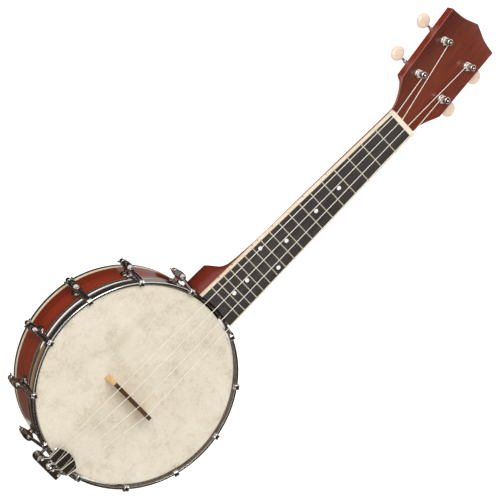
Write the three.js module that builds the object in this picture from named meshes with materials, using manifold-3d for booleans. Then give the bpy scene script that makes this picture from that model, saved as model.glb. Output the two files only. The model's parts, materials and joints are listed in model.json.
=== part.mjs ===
// A banjo ukulele lying on its open back: millimetres, neck along +Y, strings up, bass side at -X.
import * as THREE from "three";
import { mergeVertices } from "three/addons/utils/BufferGeometryUtils.js";
import Module from "manifold-3d";

// Running gaps between pieces
const seatGap = 0.3;
const glueLine = 0.2;
const runningGap = 0.3;
const insideRimGap = 0.6;
const cutOverrun = 2;

// Scale and string places
const scaleLength = 377.8;
const bridgeY = -13.5;
const nutY = bridgeY + scaleLength;
const stringRadius = 0.4;
const outerStringAtNut = 14.15;
const innerStringAtNut = 4.8;
const outerStringAtBridge = 21.85;
const innerStringAtBridge = 7.95;

// Wooden rim and its cream edge binding
const rimOuterRadius = 102.5;
const rimWall = 12;
const rimRebateDepth = 1.4;
const rebateBelowHoop = 1.1;
const bearingEdgeRound = 1.6;
const bindingWidth = 2;
const bindingHeight = 8;
const bindingPlyHeight = 4.2;
const plyChamferShare = 0.9;

// Drum head
const headTopZ = 67.3;
const headThickness = 0.5;
const headFlatInset = 0.8;
const collarKneeInset = 0.1;
const collarKneeDrop = 0.7;
const collarOverhang = 1.7;
const collarAboveFleshHoop = 0.6;

// Flesh hoop under the tension hoop
const fleshHoopClearance = 1.4;
const fleshHoopWidth = 4.9;
const fleshHoopHeight = 9.1;
const fleshHoopChamfer = 1.1;

// Tension hoop
const hoopOverhang = 1.1;
const hoopThickness = 2.4;
const hoopRise = 3.85;
const hoopHeight = 11.15;
const hoopChamfer = 0.8;

// Hooks, shoes and their fixing bolts
const bracketCount = 12;
const bassFirstHookMargin = 5.23;
const trebleFirstHookMargin = 11;
const lastHookAngle = 165.8;
const hookRodRadius = 1.5;
const hookStandoff = 2.2;
const hookEndZ = 16;
const clawWidth = 5.4;
const clawThickness = 1.8;
const clawReachDown = 5;
const clawTipDrop = 1.6;
const clawCornerRound = 1.4;
const shoeZ = 31.3;
const shoeHeight = 14;
const shoeEndRadius = 3.2;
const shoeBulgeRadius = 4.5;
const shoeShoulderRadius = 4.1;
const shoeStemRadius = 2.9;
const shoeFlangeRadius = 6.3;
const shoeFlangeRimRadius = 4.6;
const shoeFlangeThickness = 2.4;
const shoeBoltRadius = 2;
const shoeBoltHeadRadius = 4;
const shoeBoltHeadThickness = 3;

// Wing nuts under the shoes
const wingNutHubTopRadius = 3.4;
const wingNutHubEndRadius = 2.7;
const wingNutHubHeight = 7.4;
const wingSpanRadius = 5;
const wingHeight = 6.8;
const wingThickness = 1.6;

// Fingerboard, frets and edge bindings
const boardRise = 10.1;
const boardThickness = 4.5;
const boardHalfWidthAtNut = 17.45;
const boardHalfWidthAtPot = 24.4;
const boardEdgeBinding = 1.9;
const boardHoopClearance = 0.9;
const lastFretMargin = 6;
const fretWidth = 2;
const fretCrownWidth = 0.9;
const fretHeight = 1;

// Nut
const nutThickness = 5;
const stringHeightAtNut = 1.9;
const nutSlotDepth = 0.9;
const nutSlotWidth = 1.3;

// Neck and heel
const neckDepthAtNut = 12;
const neckDepthAtTwelfth = 13.4;
const heelDepth = 58.5;
const heelLength = 30.5;
const heelFootLength = 7;
const heelSweepLength = 12;
const heelSweepEndLength = 18;
const heelFootDepth = 31.5;
const heelSweepDepth = 18.5;
const heelCornerSetback = 2.5;
const pocketBelowHoop = 1.4;

// Headstock
const headstockTilt = 12.5;
const headstockThickness = 11;
const headstockLength = 126;
const shoulderHalfWidth = 34.1;
const shoulderAlong = 117.4;
const lowerCornerHalfWidth = 31.3;
const lowerCornerAlong = 31.5;
const topEdgeHollow = 2;

// Tuners
const tunerHalfSpacing = 19.5;
const lowerTunerAlong = 44.9;
const tunerPitch = 42.6;
const postRadius = 2.8;
const postWaistRadius = 2;
const postSpindleRadius = 1.8;
const postHeadHeight = 5.4;
const postEdge = 0.6;
const bushingRadius = 3.2;
const bushingFlangeRadius = 4.6;
const bushingFlangeHeight = 1.8;
const tunerHousingWidth = 13;
const tunerHousingLength = 15;
const tunerHousingDepth = 9;
const tunerHousingChamfer = 1.6;
const wormRadius = 1;
const wormShaftRadius = 1;
const wormHalfLength = 3;
const wormDepth = 4;
const gearRadius = 2.1;
const gearThickness = 2.6;
const buttonHousingGap = 10;
const buttonHalfWidth = 7.2;
const buttonHalfLength = 8.1;
const buttonThickness = 5.4;
const buttonEdge = 1.3;
const buttonCollarRadius = 2.3;
const buttonCollarLength = 7;
const buttonCollarNeck = 1.5;

// Bridge
const bridgeBaseHalfLength = 31;
const bridgeTopHalfLength = 27.4;
const bridgeBaseThickness = 6.4;
const bridgeTopThickness = 4.2;
const bridgeCapHeight = 3;
const bridgeArchHeight = 7.5;
const bridgeFootWidth = 9;
const bridgeMiddleFootWidth = 7;
const stringHeightAtBridge = 20.1;
const bridgeSlotDepth = 0.9;
const bridgeSlotWidth = 1.3;

// Tailpiece, a bent plate over the hoop
const tailPlateThickness = 1.2;
const tailFrontReach = 15.8;
const tailFrontCurve = 5.6;
const tailCreaseSetback = 1.4;
const tailStepLength = 3.3;
const tailEndPastHanger = 4.9;
const tailPlateRise = 1.55;
const tailStep = 10.2;
const tailLipDrop = 4;
const tailFrontHalfWidth = 16.4;
const tailCreaseHalfWidth = 15.2;
const tailEndHalfWidth = 15.3;
const outerStringAtCrease = 14;
const innerStringAtCrease = 4.7;
const outerStringAtKnot = 11.6;
const innerStringAtKnot = 4.6;
const knotBeforeHanger = 0.3;
const stringKnotRadius = 1;
const stringKnotLength = 1.6;

// Coordinator rod, tail hanger and their nuts
const rodZ = 30;
const rodRadius = 3;
const rodNeckReach = 12;
const rodSleeveRadius = 5.4;
const rodSleeveLength = 14;
const rodSleeveBoreDepth = 11;
const rodNutRadius = 6;
const rodNutThickness = 5;
const hangerRadius = 1.6;
const hangerBend = 5;
const hangerBendSteps = 3;
const hangerCollarRadius = 4.6;
const hangerCollarThickness = 2;
const hangerTopReach = 2.4;
const hangerLugRadius = 5.2;
const hangerLugHeight = 15.5;
const hangerLugDrop = 2.5;
const hangerLugEdge = 2;
const hangerNutRadius = 2.7;
const hangerNutHeight = 2;
const hangerNutDome = 1.9;
const hangerNutMargin = 0.4;
const domeShares = [[0.81, 0.62], [0.43, 0.92]];

// String windings on the posts
const windingTurns = 2;
const windingPitch = 1.25;
const windingAboveFlange = 1.2;
const windingBelowPostHead = 1.1;
const windingSteps = 24;
const windingSides = 6;

// How finely the round shapes are cut
const ringSegments = 48;
const tailSteps = 6;
const rodSegments = 8;
const barrelSegments = 10;
const buttonSegments = 16;

const wasm = await Module();
wasm.setup();

// Finishes
const finish = (color, roughness, metalness) =>
  new THREE.MeshStandardMaterial({ color, roughness, metalness });
const mahogany = finish(0x8a3320, 0.3, 0);
const creamBinding = finish(0xe4d2ae, 0.4, 0);
const blackPly = finish(0x2a211d, 0.4, 0);
const darkBoard = finish(0x3f3936, 0.6, 0);
const chrome = finish(0xc9c9c6, 0.12, 1);
const steel = finish(0xb5b5b2, 0.3, 1);
const calfskinFilm = finish(0xe8dcc4, 0.55, 0);
const bone = finish(0xefe2cb, 0.35, 0);
const maple = finish(0xd9b283, 0.5, 0);
const ebony = finish(0x3a2a20, 0.45, 0);
const nylon = finish(0xf1e9e2, 0.3, 0);
const pearlPlastic = finish(0xecd3bd, 0.3, 0);

const pot = new THREE.Group();
const neckGroup = new THREE.Group();
const headstock = new THREE.Group();

const courses = (outer, inner) => [-outer, -inner, inner, outer];

function addMesh(group, name, geometry, material) {
  const mesh = new THREE.Mesh(geometry, material);
  mesh.name = name;
  group.add(mesh);
  return mesh;
}

// Closed solids from geometries and back
function solidOf(geometry) {
  const bare = geometry.index ? geometry.toNonIndexed() : geometry.clone();
  for (const key of Object.keys(bare.attributes)) if (key !== "position") bare.deleteAttribute(key);
  const merged = mergeVertices(bare);
  return new wasm.Manifold(
    new wasm.Mesh({
      numProp: 3,
      vertProperties: merged.attributes.position.array,
      triVerts: new Uint32Array(merged.index.array),
    }),
  );
}

function geometryOf(solid) {
  const mesh = solid.getMesh();
  const geometry = new THREE.BufferGeometry();
  geometry.setAttribute("position", new THREE.BufferAttribute(mesh.vertProperties, 3));
  geometry.setIndex(new THREE.BufferAttribute(mesh.triVerts, 1));
  geometry.computeVertexNormals();
  return geometry;
}

function join(...geometries) {
  return geometryOf(geometries.map(solidOf).reduce((sum, next) => sum.add(next)));
}

function cut(geometry, ...tools) {
  return geometryOf(tools.map(solidOf).reduce((rest, tool) => rest.subtract(tool), solidOf(geometry)));
}

// A turned shape about +Z: the profile runs anticlockwise seen with radius to the right and height up
function turned(profile, segments) {
  const points = profile.map(([radius, height]) => new THREE.Vector2(radius, height));
  return new THREE.LatheGeometry(points, segments).rotateX(Math.PI / 2);
}

function turnedRing(profile, segments) {
  return turned([...profile, profile[0]], segments);
}

// A round bar from one height to another on the Z axis
function bar(radius, fromZ, toZ, segments, endRadius = radius) {
  const geometry = new THREE.CylinderGeometry(endRadius, radius, toZ - fromZ, segments);
  return geometry.rotateX(Math.PI / 2).translate(0, 0, (fromZ + toZ) / 2);
}

// Turns a shape that stands on the Z axis so that it points along +X or +Y
const alongX = (geometry) => geometry.rotateY(Math.PI / 2);
const alongY = (geometry) => geometry.rotateX(-Math.PI / 2);

function box(sizeX, sizeY, sizeZ, x, y, z) {
  return new THREE.BoxGeometry(sizeX, sizeY, sizeZ).translate(x, y, z);
}

function outline(points) {
  return new THREE.Shape(points.map(([x, y]) => new THREE.Vector2(x, y)));
}

function slab(shape, depth, bevel = 0) {
  return new THREE.ExtrudeGeometry(shape, {
    depth: depth - bevel - bevel,
    bevelEnabled: bevel > 0,
    bevelThickness: bevel,
    bevelSize: bevel,
    bevelOffset: -bevel,
    bevelSegments: 1,
    steps: 1,
  }).translate(0, 0, bevel);
}

// The triangles that close a flat loop, turned the same way round as the loop
function capTriangles(loop) {
  const normal = new THREE.Vector3();
  loop.forEach((point, k) => normal.add(point.clone().cross(loop[(k + 1) % loop.length])));
  normal.normalize();
  const across = loop[1].clone().sub(loop[0]);
  across.addScaledVector(normal, -across.dot(normal)).normalize();
  const up = normal.clone().cross(across);
  const flat = loop.map((point) => new THREE.Vector2(point.dot(across), point.dot(up)));
  return THREE.ShapeUtils.triangulateShape(flat, []);
}

// A closed skin over a row of closed loops that all have the same number of points
function skin(loops) {
  const count = loops[0].length;
  const positions = [];
  const triangle = (a, b, c) => positions.push(...a.toArray(), ...b.toArray(), ...c.toArray());
  for (let row = 0; row + 1 < loops.length; row++) {
    for (let k = 0; k < count; k++) {
      const next = (k + 1) % count;
      const [a, b, c, d] = [loops[row][k], loops[row][next], loops[row + 1][next], loops[row + 1][k]];
      triangle(a, b, c);
      triangle(a, c, d);
    }
  }
  const [first, last] = [loops[0], loops[loops.length - 1]];
  for (const [a, b, c] of capTriangles(first)) triangle(first[a], first[c], first[b]);
  for (const [a, b, c] of capTriangles(last)) triangle(last[a], last[b], last[c]);
  const geometry = new THREE.BufferGeometry();
  geometry.setAttribute("position", new THREE.Float32BufferAttribute(positions, 3));
  geometry.computeVertexNormals();
  return geometry;
}

// A round tube through a list of points, its rings kept untwisted from one point to the next
function tube(points, radii, sides) {
  const direction = (i) =>
    points[Math.min(i + 1, points.length - 1)].clone().sub(points[Math.max(i - 1, 0)]).normalize();
  const across = new THREE.Vector3(1, 0, 0);
  const loops = points.map((point, i) => {
    const ahead = direction(i);
    across.addScaledVector(ahead, -across.dot(ahead)).normalize();
    const up = ahead.clone().cross(across);
    const radius = Array.isArray(radii) ? radii[i] : radii;
    return Array.from({ length: sides }, (_, k) => {
      const turn = (k / sides) * 2 * Math.PI;
      const edge = point.clone().addScaledVector(across, radius * Math.cos(turn));
      return edge.addScaledVector(up, radius * Math.sin(turn));
    });
  });
  return skin(loops);
}

// Rim: a bent and glued ring with a rebate round its top for the head, and one for its cream edge
const rimInnerRadius = rimOuterRadius - rimWall;
const rimTopRadius = rimOuterRadius - rimRebateDepth;
const bearingZ = headTopZ - headThickness - seatGap;
const hoopTopZ = headTopZ + hoopRise;
const hoopBottomZ = hoopTopZ - hoopHeight;
const fleshHoopTopZ = hoopBottomZ - seatGap;
const fleshHoopBottomZ = fleshHoopTopZ - fleshHoopHeight;
const rimRebateZ = fleshHoopBottomZ - rebateBelowHoop;
const bindingSeatRadius = rimOuterRadius - bindingWidth;
const rimRing = turnedRing(
  [
    [rimInnerRadius, 0],
    [bindingSeatRadius - glueLine, 0],
    [bindingSeatRadius - glueLine, bindingHeight + glueLine],
    [rimOuterRadius, bindingHeight + glueLine],
    [rimOuterRadius, rimRebateZ],
    [rimTopRadius, rimRebateZ],
    [rimTopRadius, bearingZ - bearingEdgeRound],
    [rimTopRadius - bearingEdgeRound, bearingZ],
    [rimInnerRadius, bearingZ],
  ],
  ringSegments,
);

const halfCount = bracketCount / 2;
const hookRow = (firstAngle, turn) =>
  Array.from({ length: halfCount }, (_, k) => {
    const angle = firstAngle + (k * (lastHookAngle - firstAngle)) / (halfCount - 1);
    return turn * THREE.MathUtils.degToRad(angle);
  });
const firstHookAngle = (margin) =>
  THREE.MathUtils.radToDeg(Math.asin((boardHalfWidthAtPot + margin) / rimOuterRadius));
const hookAngles = [
  ...hookRow(firstHookAngle(bassFirstHookMargin), 1),
  ...hookRow(firstHookAngle(trebleFirstHookMargin), -1).reverse(),
];
const rimReach = rimWall + cutOverrun + cutOverrun;
const shoeHole = alongY(bar(shoeBoltRadius + runningGap, 0, rimReach, rodSegments)).translate(
  0,
  rimInnerRadius - cutOverrun,
  shoeZ,
);
const rodHole = alongY(bar(rodRadius + runningGap, 0, rimReach, barrelSegments)).translate(
  0,
  rimInnerRadius - cutOverrun,
  rodZ,
);
const rimHoles = hookAngles.map((angle) => shoeHole.clone().rotateZ(angle));
addMesh(pot, "rim", cut(rimRing, ...rimHoles, rodHole, rodHole.clone().rotateZ(Math.PI)), mahogany);

const plyChamfer = plyChamferShare * bindingWidth;
const bindingRing = (bottomZ, topZ, chamfer = 0) =>
  turnedRing(
    [
      [bindingSeatRadius, bottomZ],
      [rimOuterRadius - chamfer, bottomZ],
      ...(chamfer ? [[rimOuterRadius, bottomZ + chamfer]] : []),
      [rimOuterRadius, topZ],
      [bindingSeatRadius, topZ],
    ],
    ringSegments,
  );
addMesh(pot, "rim_black_ply", bindingRing(0, bindingPlyHeight - glueLine, plyChamfer), blackPly);
addMesh(pot, "rim_binding", bindingRing(bindingPlyHeight, bindingHeight), creamBinding);

// Drum head: flat film that turns down over the bearing edge to the flesh hoop
const headEdgeRadius = rimOuterRadius + collarOverhang;
const headFlatRadius = headEdgeRadius - headFlatInset;
const collarKneeRadius = headEdgeRadius - collarKneeInset;
const collarEndZ = fleshHoopTopZ + collarAboveFleshHoop;
const headUnderZ = headTopZ - headThickness;
const drumHead = turned(
  [
    [0, headUnderZ],
    [headFlatRadius, headUnderZ],
    [collarKneeRadius - headThickness, headUnderZ - collarKneeDrop],
    [headEdgeRadius - headThickness, collarEndZ],
    [headEdgeRadius, collarEndZ],
    [collarKneeRadius, headTopZ - collarKneeDrop],
    [headFlatRadius, headTopZ],
    [0, headTopZ],
  ],
  ringSegments,
);
addMesh(pot, "drum_head", drumHead, calfskinFilm);

// Flesh hoop round the rim's rebate, and the tension hoop that presses the head down on it
const fleshHoopInnerRadius = rimTopRadius + fleshHoopClearance;
const fleshHoopOuterRadius = fleshHoopInnerRadius + fleshHoopWidth;
const fleshHoop = turnedRing(
  [
    [fleshHoopInnerRadius, fleshHoopBottomZ],
    [fleshHoopOuterRadius - fleshHoopChamfer, fleshHoopBottomZ],
    [fleshHoopOuterRadius, fleshHoopBottomZ + fleshHoopChamfer],
    [fleshHoopOuterRadius, fleshHoopTopZ],
    [fleshHoopInnerRadius, fleshHoopTopZ],
  ],
  ringSegments,
);
addMesh(pot, "flesh_hoop", fleshHoop, steel);

const hoopOuterRadius = fleshHoopOuterRadius + hoopOverhang;
const hoopInnerRadius = hoopOuterRadius - hoopThickness;
const tensionHoop = turnedRing(
  [
    [hoopInnerRadius, hoopBottomZ],
    [hoopOuterRadius, hoopBottomZ],
    [hoopOuterRadius, hoopTopZ - hoopChamfer],
    [hoopOuterRadius - hoopChamfer, hoopTopZ],
    [hoopInnerRadius + hoopChamfer, hoopTopZ],
    [hoopInnerRadius, hoopTopZ - hoopChamfer],
  ],
  ringSegments,
);
addMesh(pot, "tension_hoop", tensionHoop, chrome);

// Bracket: a hook over the tension hoop, through a shoe that is bolted to the rim
const hookRadius = hoopOuterRadius + seatGap + hookStandoff + hookRodRadius;
const clawInnerR = hoopInnerRadius - seatGap;
const clawOuterR = hoopOuterRadius + seatGap + clawThickness;
const clawUnderZ = hoopTopZ + seatGap;
const clawTopZ = clawUnderZ + clawThickness;
const clawEndZ = clawUnderZ - clawReachDown;
const clawTipZ = hoopTopZ - clawTipDrop;
const clawTipR = clawInnerR - clawThickness;
const hookFaceR = hoopOuterRadius + seatGap;
const clawSide = outline([
  [hookFaceR, clawEndZ],
  [clawOuterR, clawEndZ],
  [clawOuterR, clawTopZ - clawCornerRound],
  [clawOuterR - clawCornerRound, clawTopZ],
  [clawTipR + clawCornerRound, clawTopZ],
  [clawTipR, clawTopZ - clawCornerRound],
  [clawTipR, clawTipZ],
  [clawInnerR, clawTipZ],
  [clawInnerR, clawUnderZ],
  [hookFaceR, clawUnderZ],
]);
const claw = slab(clawSide, clawWidth)
  .translate(0, 0, -clawWidth / 2)
  .rotateX(Math.PI / 2)
  .rotateZ(Math.PI / 2);
const shoeBottomZ = shoeZ - shoeHeight / 2;
const shoeTopZ = shoeZ + shoeHeight / 2;
const hookPath = [
  new THREE.Vector3(0, (hookFaceR + clawOuterR) / 2, (clawEndZ + clawUnderZ) / 2),
  new THREE.Vector3(0, hookRadius, shoeTopZ),
  new THREE.Vector3(0, hookRadius, hookEndZ),
];
const hookRod = tube(hookPath, [clawThickness / 2, hookRodRadius, hookRodRadius], rodSegments);
const shoeShoulderShare = 0.2;
const shoeShoulder = shoeShoulderShare * shoeHeight;
const shoeBarrel = turned(
  [
    [0, shoeBottomZ],
    [shoeEndRadius, shoeBottomZ],
    [shoeShoulderRadius, shoeBottomZ + shoeShoulder],
    [shoeBulgeRadius, shoeZ],
    [shoeShoulderRadius, shoeTopZ - shoeShoulder],
    [shoeEndRadius, shoeTopZ],
    [0, shoeTopZ],
  ],
  barrelSegments,
).translate(0, hookRadius, 0);
const flangeStart = rimOuterRadius + seatGap;
const flangeEnd = flangeStart + shoeFlangeThickness;
const shoeFlange = alongY(
  bar(shoeFlangeRadius, flangeStart, flangeEnd, barrelSegments, shoeFlangeRimRadius),
).translate(0, 0, shoeZ);
const boltHeadEnd = rimInnerRadius - insideRimGap;
const shoeStem = alongY(bar(shoeStemRadius, flangeStart, hookRadius, rodSegments)).translate(0, 0, shoeZ);
const shoeBolt = alongY(
  bar(shoeBoltRadius, boltHeadEnd - shoeBoltHeadThickness / 2, hookRadius, rodSegments),
).translate(0, 0, shoeZ);
const shoeBoltHead = alongY(
  bar(shoeBoltHeadRadius, boltHeadEnd - shoeBoltHeadThickness, boltHeadEnd, 6),
).translate(0, 0, shoeZ);
const bracket = join(hookRod, claw, shoeBarrel, shoeFlange, shoeStem, shoeBolt, shoeBoltHead);

// Wing nut: a tapered hub with two wings that drop and flare, threaded on the hook's end
const hubTopZ = shoeBottomZ - seatGap;
const hubEndZ = hubTopZ - wingNutHubHeight;
const nutBore = hookRodRadius + runningGap;
const hub = turnedRing(
  [
    [nutBore, hubEndZ],
    [wingNutHubEndRadius, hubEndZ],
    [wingNutHubTopRadius, hubTopZ],
    [nutBore, hubTopZ],
  ],
  barrelSegments,
);
const wingRoot = (nutBore + wingNutHubEndRadius) / 2;
const wingShares = [[0.3, 0.3], [0.62, 0.5], [1, 0.56], [0.98, 0.78], [0.6, 0.88]];
const wingReach = wingSpanRadius - wingRoot;
const wingSide = outline([
  [wingRoot, hubTopZ - seatGap],
  ...wingShares.map(([out, down]) => [wingRoot + out * wingReach, hubTopZ - down * wingHeight]),
  [wingRoot, hubEndZ + seatGap],
]);
const wing = slab(wingSide, wingThickness)
  .translate(0, 0, -wingThickness / 2)
  .rotateX(Math.PI / 2);
const wingNut = join(hub, wing, wing.clone().rotateZ(Math.PI));

hookAngles.forEach((angle, k) => {
  addMesh(pot, "hook_and_shoe_" + (k + 1), bracket, chrome).rotation.z = angle;
  const nutMesh = addMesh(pot, "wing_nut_" + (k + 1), wingNut, chrome);
  nutMesh.position.set(-hookRadius * Math.sin(angle), hookRadius * Math.cos(angle), 0);
  nutMesh.rotation.z = angle;
});

// Coordinator rod across the pot, its nut, and the hanger bolt that holds the tailpiece
const tailPlateTopZ = hoopTopZ + tailPlateRise;
const tailFlangeTopZ = tailPlateTopZ - tailStep;
const tailCreaseY = -(hoopOuterRadius + tailCreaseSetback);
const tailFlangeY = tailCreaseY - tailStepLength;
const hangerY = tailFlangeY - hangerNutRadius - hangerNutMargin;
const rodTailEnd = -(rimInnerRadius - insideRimGap);
const rodNeckEnd = rimOuterRadius + rodNeckReach;
const sleeveStart = rodTailEnd + rodSleeveLength;
const rodBoreEnd = rodTailEnd + rodSleeveBoreDepth;
const hangerBoreRadius = hangerRadius + runningGap;
const rod = alongY(
  turned(
    [
      [0, rodBoreEnd],
      [hangerBoreRadius, rodBoreEnd],
      [hangerBoreRadius, rodTailEnd],
      [rodSleeveRadius, rodTailEnd],
      [rodSleeveRadius, sleeveStart],
      [rodRadius, sleeveStart],
      [rodRadius, rodNeckEnd],
      [0, rodNeckEnd],
    ],
    barrelSegments,
  ),
).translate(0, 0, rodZ);
addMesh(pot, "coordinator_rod", rod, steel);

const rodNutEnd = rimInnerRadius - insideRimGap;
const rodNut = cut(
  alongY(bar(rodNutRadius, rodNutEnd - rodNutThickness, rodNutEnd, 6)),
  alongY(bar(rodRadius + runningGap, 0, rimOuterRadius, barrelSegments)),
).translate(0, 0, rodZ);
addMesh(pot, "rod_nut", rodNut, steel);

const hangerTopZ = tailFlangeTopZ + hangerTopReach;
const bendPoints = Array.from({ length: hangerBendSteps + 1 }, (_, k) => {
  const turn = (k / hangerBendSteps) * (Math.PI / 2);
  return new THREE.Vector3(
    0,
    hangerY + hangerBend - hangerBend * Math.sin(turn),
    rodZ + hangerBend - hangerBend * Math.cos(turn),
  );
});
const hangerPath = [
  new THREE.Vector3(0, rodBoreEnd - seatGap, rodZ),
  ...bendPoints,
  new THREE.Vector3(0, hangerY, hangerTopZ),
];
const hangerCollar = alongY(
  bar(hangerCollarRadius, -flangeStart - hangerCollarThickness, -flangeStart, barrelSegments),
).translate(0, 0, rodZ);
const hangerRod = tube(hangerPath, hangerRadius, rodSegments);
const lugBottomZ = rodZ - hangerLugDrop;
const lugTopZ = lugBottomZ + hangerLugHeight;
const hangerLug = turned(
  [
    [0, lugBottomZ],
    [hangerLugRadius - hangerLugEdge, lugBottomZ],
    [hangerLugRadius, lugBottomZ + hangerLugEdge],
    [hangerLugRadius, lugTopZ - hangerLugEdge],
    [hangerLugRadius - hangerLugEdge, lugTopZ],
    [0, lugTopZ],
  ],
  barrelSegments,
).translate(0, hangerY, 0);
addMesh(pot, "tail_hanger_bolt", join(hangerRod, hangerCollar, hangerLug), steel);

const hangerNutBase = tailFlangeTopZ + seatGap;
const domeBaseZ = hangerNutBase + hangerNutHeight;
const hangerNut = turned(
  [
    [0, hangerTopZ + seatGap],
    [hangerBoreRadius, hangerTopZ + seatGap],
    [hangerBoreRadius, hangerNutBase],
    [hangerNutRadius, hangerNutBase],
    [hangerNutRadius, domeBaseZ],
    ...domeShares.map(([out, up]) => [out * hangerNutRadius, domeBaseZ + up * hangerNutDome]),
    [0, domeBaseZ + hangerNutDome],
  ],
  barrelSegments,
).translate(0, hangerY, 0);
addMesh(pot, "hanger_nut", hangerNut, chrome);

// Tailpiece: one plate with a fan front, a step down outside the hoop and a flange for the hanger
const tailFrontY = -(hoopOuterRadius - tailFrontReach);
const tailEndY = hangerY - tailEndPastHanger;
const tailSection = outline([
  [-tailFrontY, tailPlateTopZ],
  [-tailFrontY, tailPlateTopZ - tailPlateThickness],
  [-tailCreaseY - tailPlateThickness / 2, tailPlateTopZ - tailPlateThickness],
  [-tailFlangeY - tailPlateThickness / 2, tailFlangeTopZ - tailPlateThickness],
  [-tailEndY - tailPlateThickness, tailFlangeTopZ - tailPlateThickness],
  [-tailEndY - tailPlateThickness, tailFlangeTopZ - tailLipDrop],
  [-tailEndY, tailFlangeTopZ - tailLipDrop],
  [-tailEndY, tailFlangeTopZ],
  [-tailFlangeY, tailFlangeTopZ],
  [-tailCreaseY, tailPlateTopZ],
]);
const tailBlank = new THREE.ExtrudeGeometry(tailSection, {
  depth: 1,
  steps: tailSteps,
  bevelEnabled: false,
});
const tailPoints = tailBlank.attributes.position;
for (let i = 0; i < tailPoints.count; i++) {
  const share = 1 - 2 * tailPoints.getZ(i);
  const y = -tailPoints.getX(i);
  const forward = Math.max((y - tailCreaseY) / (tailFrontY - tailCreaseY), 0);
  const backward = Math.min(Math.max((tailCreaseY - y) / (tailCreaseY - tailFlangeY), 0), 1);
  const half =
    tailCreaseHalfWidth +
    forward * (tailFrontHalfWidth - tailCreaseHalfWidth) +
    backward * (tailEndHalfWidth - tailCreaseHalfWidth);
  tailPoints.setXYZ(i, share * half, y - forward * tailFrontCurve * share * share, tailPoints.getY(i));
}
const flangeUnderZ = tailFlangeTopZ - tailPlateThickness;
const hangerHole = bar(
  hangerBoreRadius,
  flangeUnderZ - cutOverrun,
  tailFlangeTopZ + cutOverrun,
  barrelSegments,
).translate(0, hangerY, 0);
const tailpiece = cut(tailBlank, hangerHole);
addMesh(pot, "tailpiece", tailpiece, chrome);

// Bridge: maple legs with two arches, and an ebony cap with string slots
const bridgeStringZ = headTopZ + stringHeightAtBridge;
const bridgeTopZ = bridgeStringZ - stringRadius - seatGap + bridgeSlotDepth;
const bridgeBaseZ = headTopZ + seatGap;
const bridgeBodyTopZ = bridgeTopZ - bridgeCapHeight;
const bridgeBodyHeight = bridgeBodyTopZ - bridgeBaseZ;
const archOuterX = bridgeBaseHalfLength - bridgeFootWidth;
const archInnerX = bridgeMiddleFootWidth / 2;
const archSteps = 6;
const archPoints = (side) =>
  Array.from({ length: archSteps + 1 }, (_, k) => {
    const turn = (k / archSteps) * Math.PI;
    const middle = (archOuterX + archInnerX) / 2;
    const reach = (archOuterX - archInnerX) / 2;
    return [side * middle + reach * Math.cos(turn), bridgeArchHeight * Math.sin(turn)];
  });
const bridgeSide = outline([
  [-bridgeBaseHalfLength, 0],
  ...archPoints(-1).reverse(),
  ...archPoints(1).reverse(),
  [bridgeBaseHalfLength, 0],
  [bridgeTopHalfLength, bridgeBodyHeight],
  [-bridgeTopHalfLength, bridgeBodyHeight],
]);
const bridgeBody = slab(bridgeSide, bridgeBaseThickness).translate(0, 0, -bridgeBaseThickness / 2);
const bridgePoints = bridgeBody.attributes.position;
for (let i = 0; i < bridgePoints.count; i++) {
  const rise = bridgePoints.getY(i) / bridgeBodyHeight;
  const thin = 1 - rise * (1 - bridgeTopThickness / bridgeBaseThickness);
  bridgePoints.setZ(i, bridgePoints.getZ(i) * thin);
}
addMesh(pot, "bridge_body", bridgeBody.rotateX(Math.PI / 2).translate(0, bridgeY, bridgeBaseZ), maple);

const bridgeStringX = courses(outerStringAtBridge, innerStringAtBridge);
const capBottomZ = bridgeBodyTopZ + glueLine;
const capHeight = bridgeTopZ - capBottomZ;
const capBlock = box(
  2 * bridgeTopHalfLength,
  bridgeTopThickness,
  capHeight,
  0,
  bridgeY,
  capBottomZ + capHeight / 2,
);
const bridgeSlots = bridgeStringX.map((x) =>
  box(bridgeSlotWidth, bridgeTopThickness + cutOverrun, 2 * bridgeSlotDepth, x, bridgeY, bridgeTopZ),
);
addMesh(pot, "bridge_cap", cut(capBlock, ...bridgeSlots), ebony);

// Fingerboard with its frets, and the two cream edge bindings
const boardTopZ = headTopZ + boardRise;
const boardUnderZ = boardTopZ - boardThickness;
const potEndRadius = hoopOuterRadius + boardHoopClearance;
const halfWidthAt = (y) =>
  boardHalfWidthAtNut +
  ((boardHalfWidthAtPot - boardHalfWidthAtNut) * (nutY - y)) / (nutY - potEndRadius);
const potEndY = (x) => Math.sqrt(potEndRadius * potEndRadius - x * x);
const endShares = [-1, -0.5, 0, 0.5, 1];
const boardHalfAtPotEnd = boardHalfWidthAtPot - boardEdgeBinding;
const boardHalfAtNutEnd = boardHalfWidthAtNut - boardEdgeBinding;
const boardOutline = outline([
  ...endShares.map((share) => [share * boardHalfAtPotEnd, potEndY(share * boardHalfAtPotEnd)]),
  [boardHalfAtNutEnd, nutY - glueLine],
  [-boardHalfAtNutEnd, nutY - glueLine],
]);
const boardSlab = slab(boardOutline, boardThickness).translate(0, 0, boardUnderZ);
const fretProfile = outline([
  [-fretWidth / 2, -fretHeight],
  [fretWidth / 2, -fretHeight],
  [fretWidth / 2, 0],
  [fretCrownWidth / 2, fretHeight],
  [-fretCrownWidth / 2, fretHeight],
  [-fretWidth / 2, 0],
]);
const frets = [];
for (let k = 1; ; k++) {
  const y = bridgeY + scaleLength * 2 ** (-k / 12);
  if (y < potEndRadius + lastFretMargin) break;
  const half = halfWidthAt(y) - boardEdgeBinding;
  const fret = slab(fretProfile, 2 * half).translate(0, 0, -half);
  frets.push(fret.rotateX(Math.PI / 2).rotateZ(Math.PI / 2).translate(0, y, boardTopZ));
}
addMesh(neckGroup, "fingerboard", join(boardSlab, ...frets), darkBoard);

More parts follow.
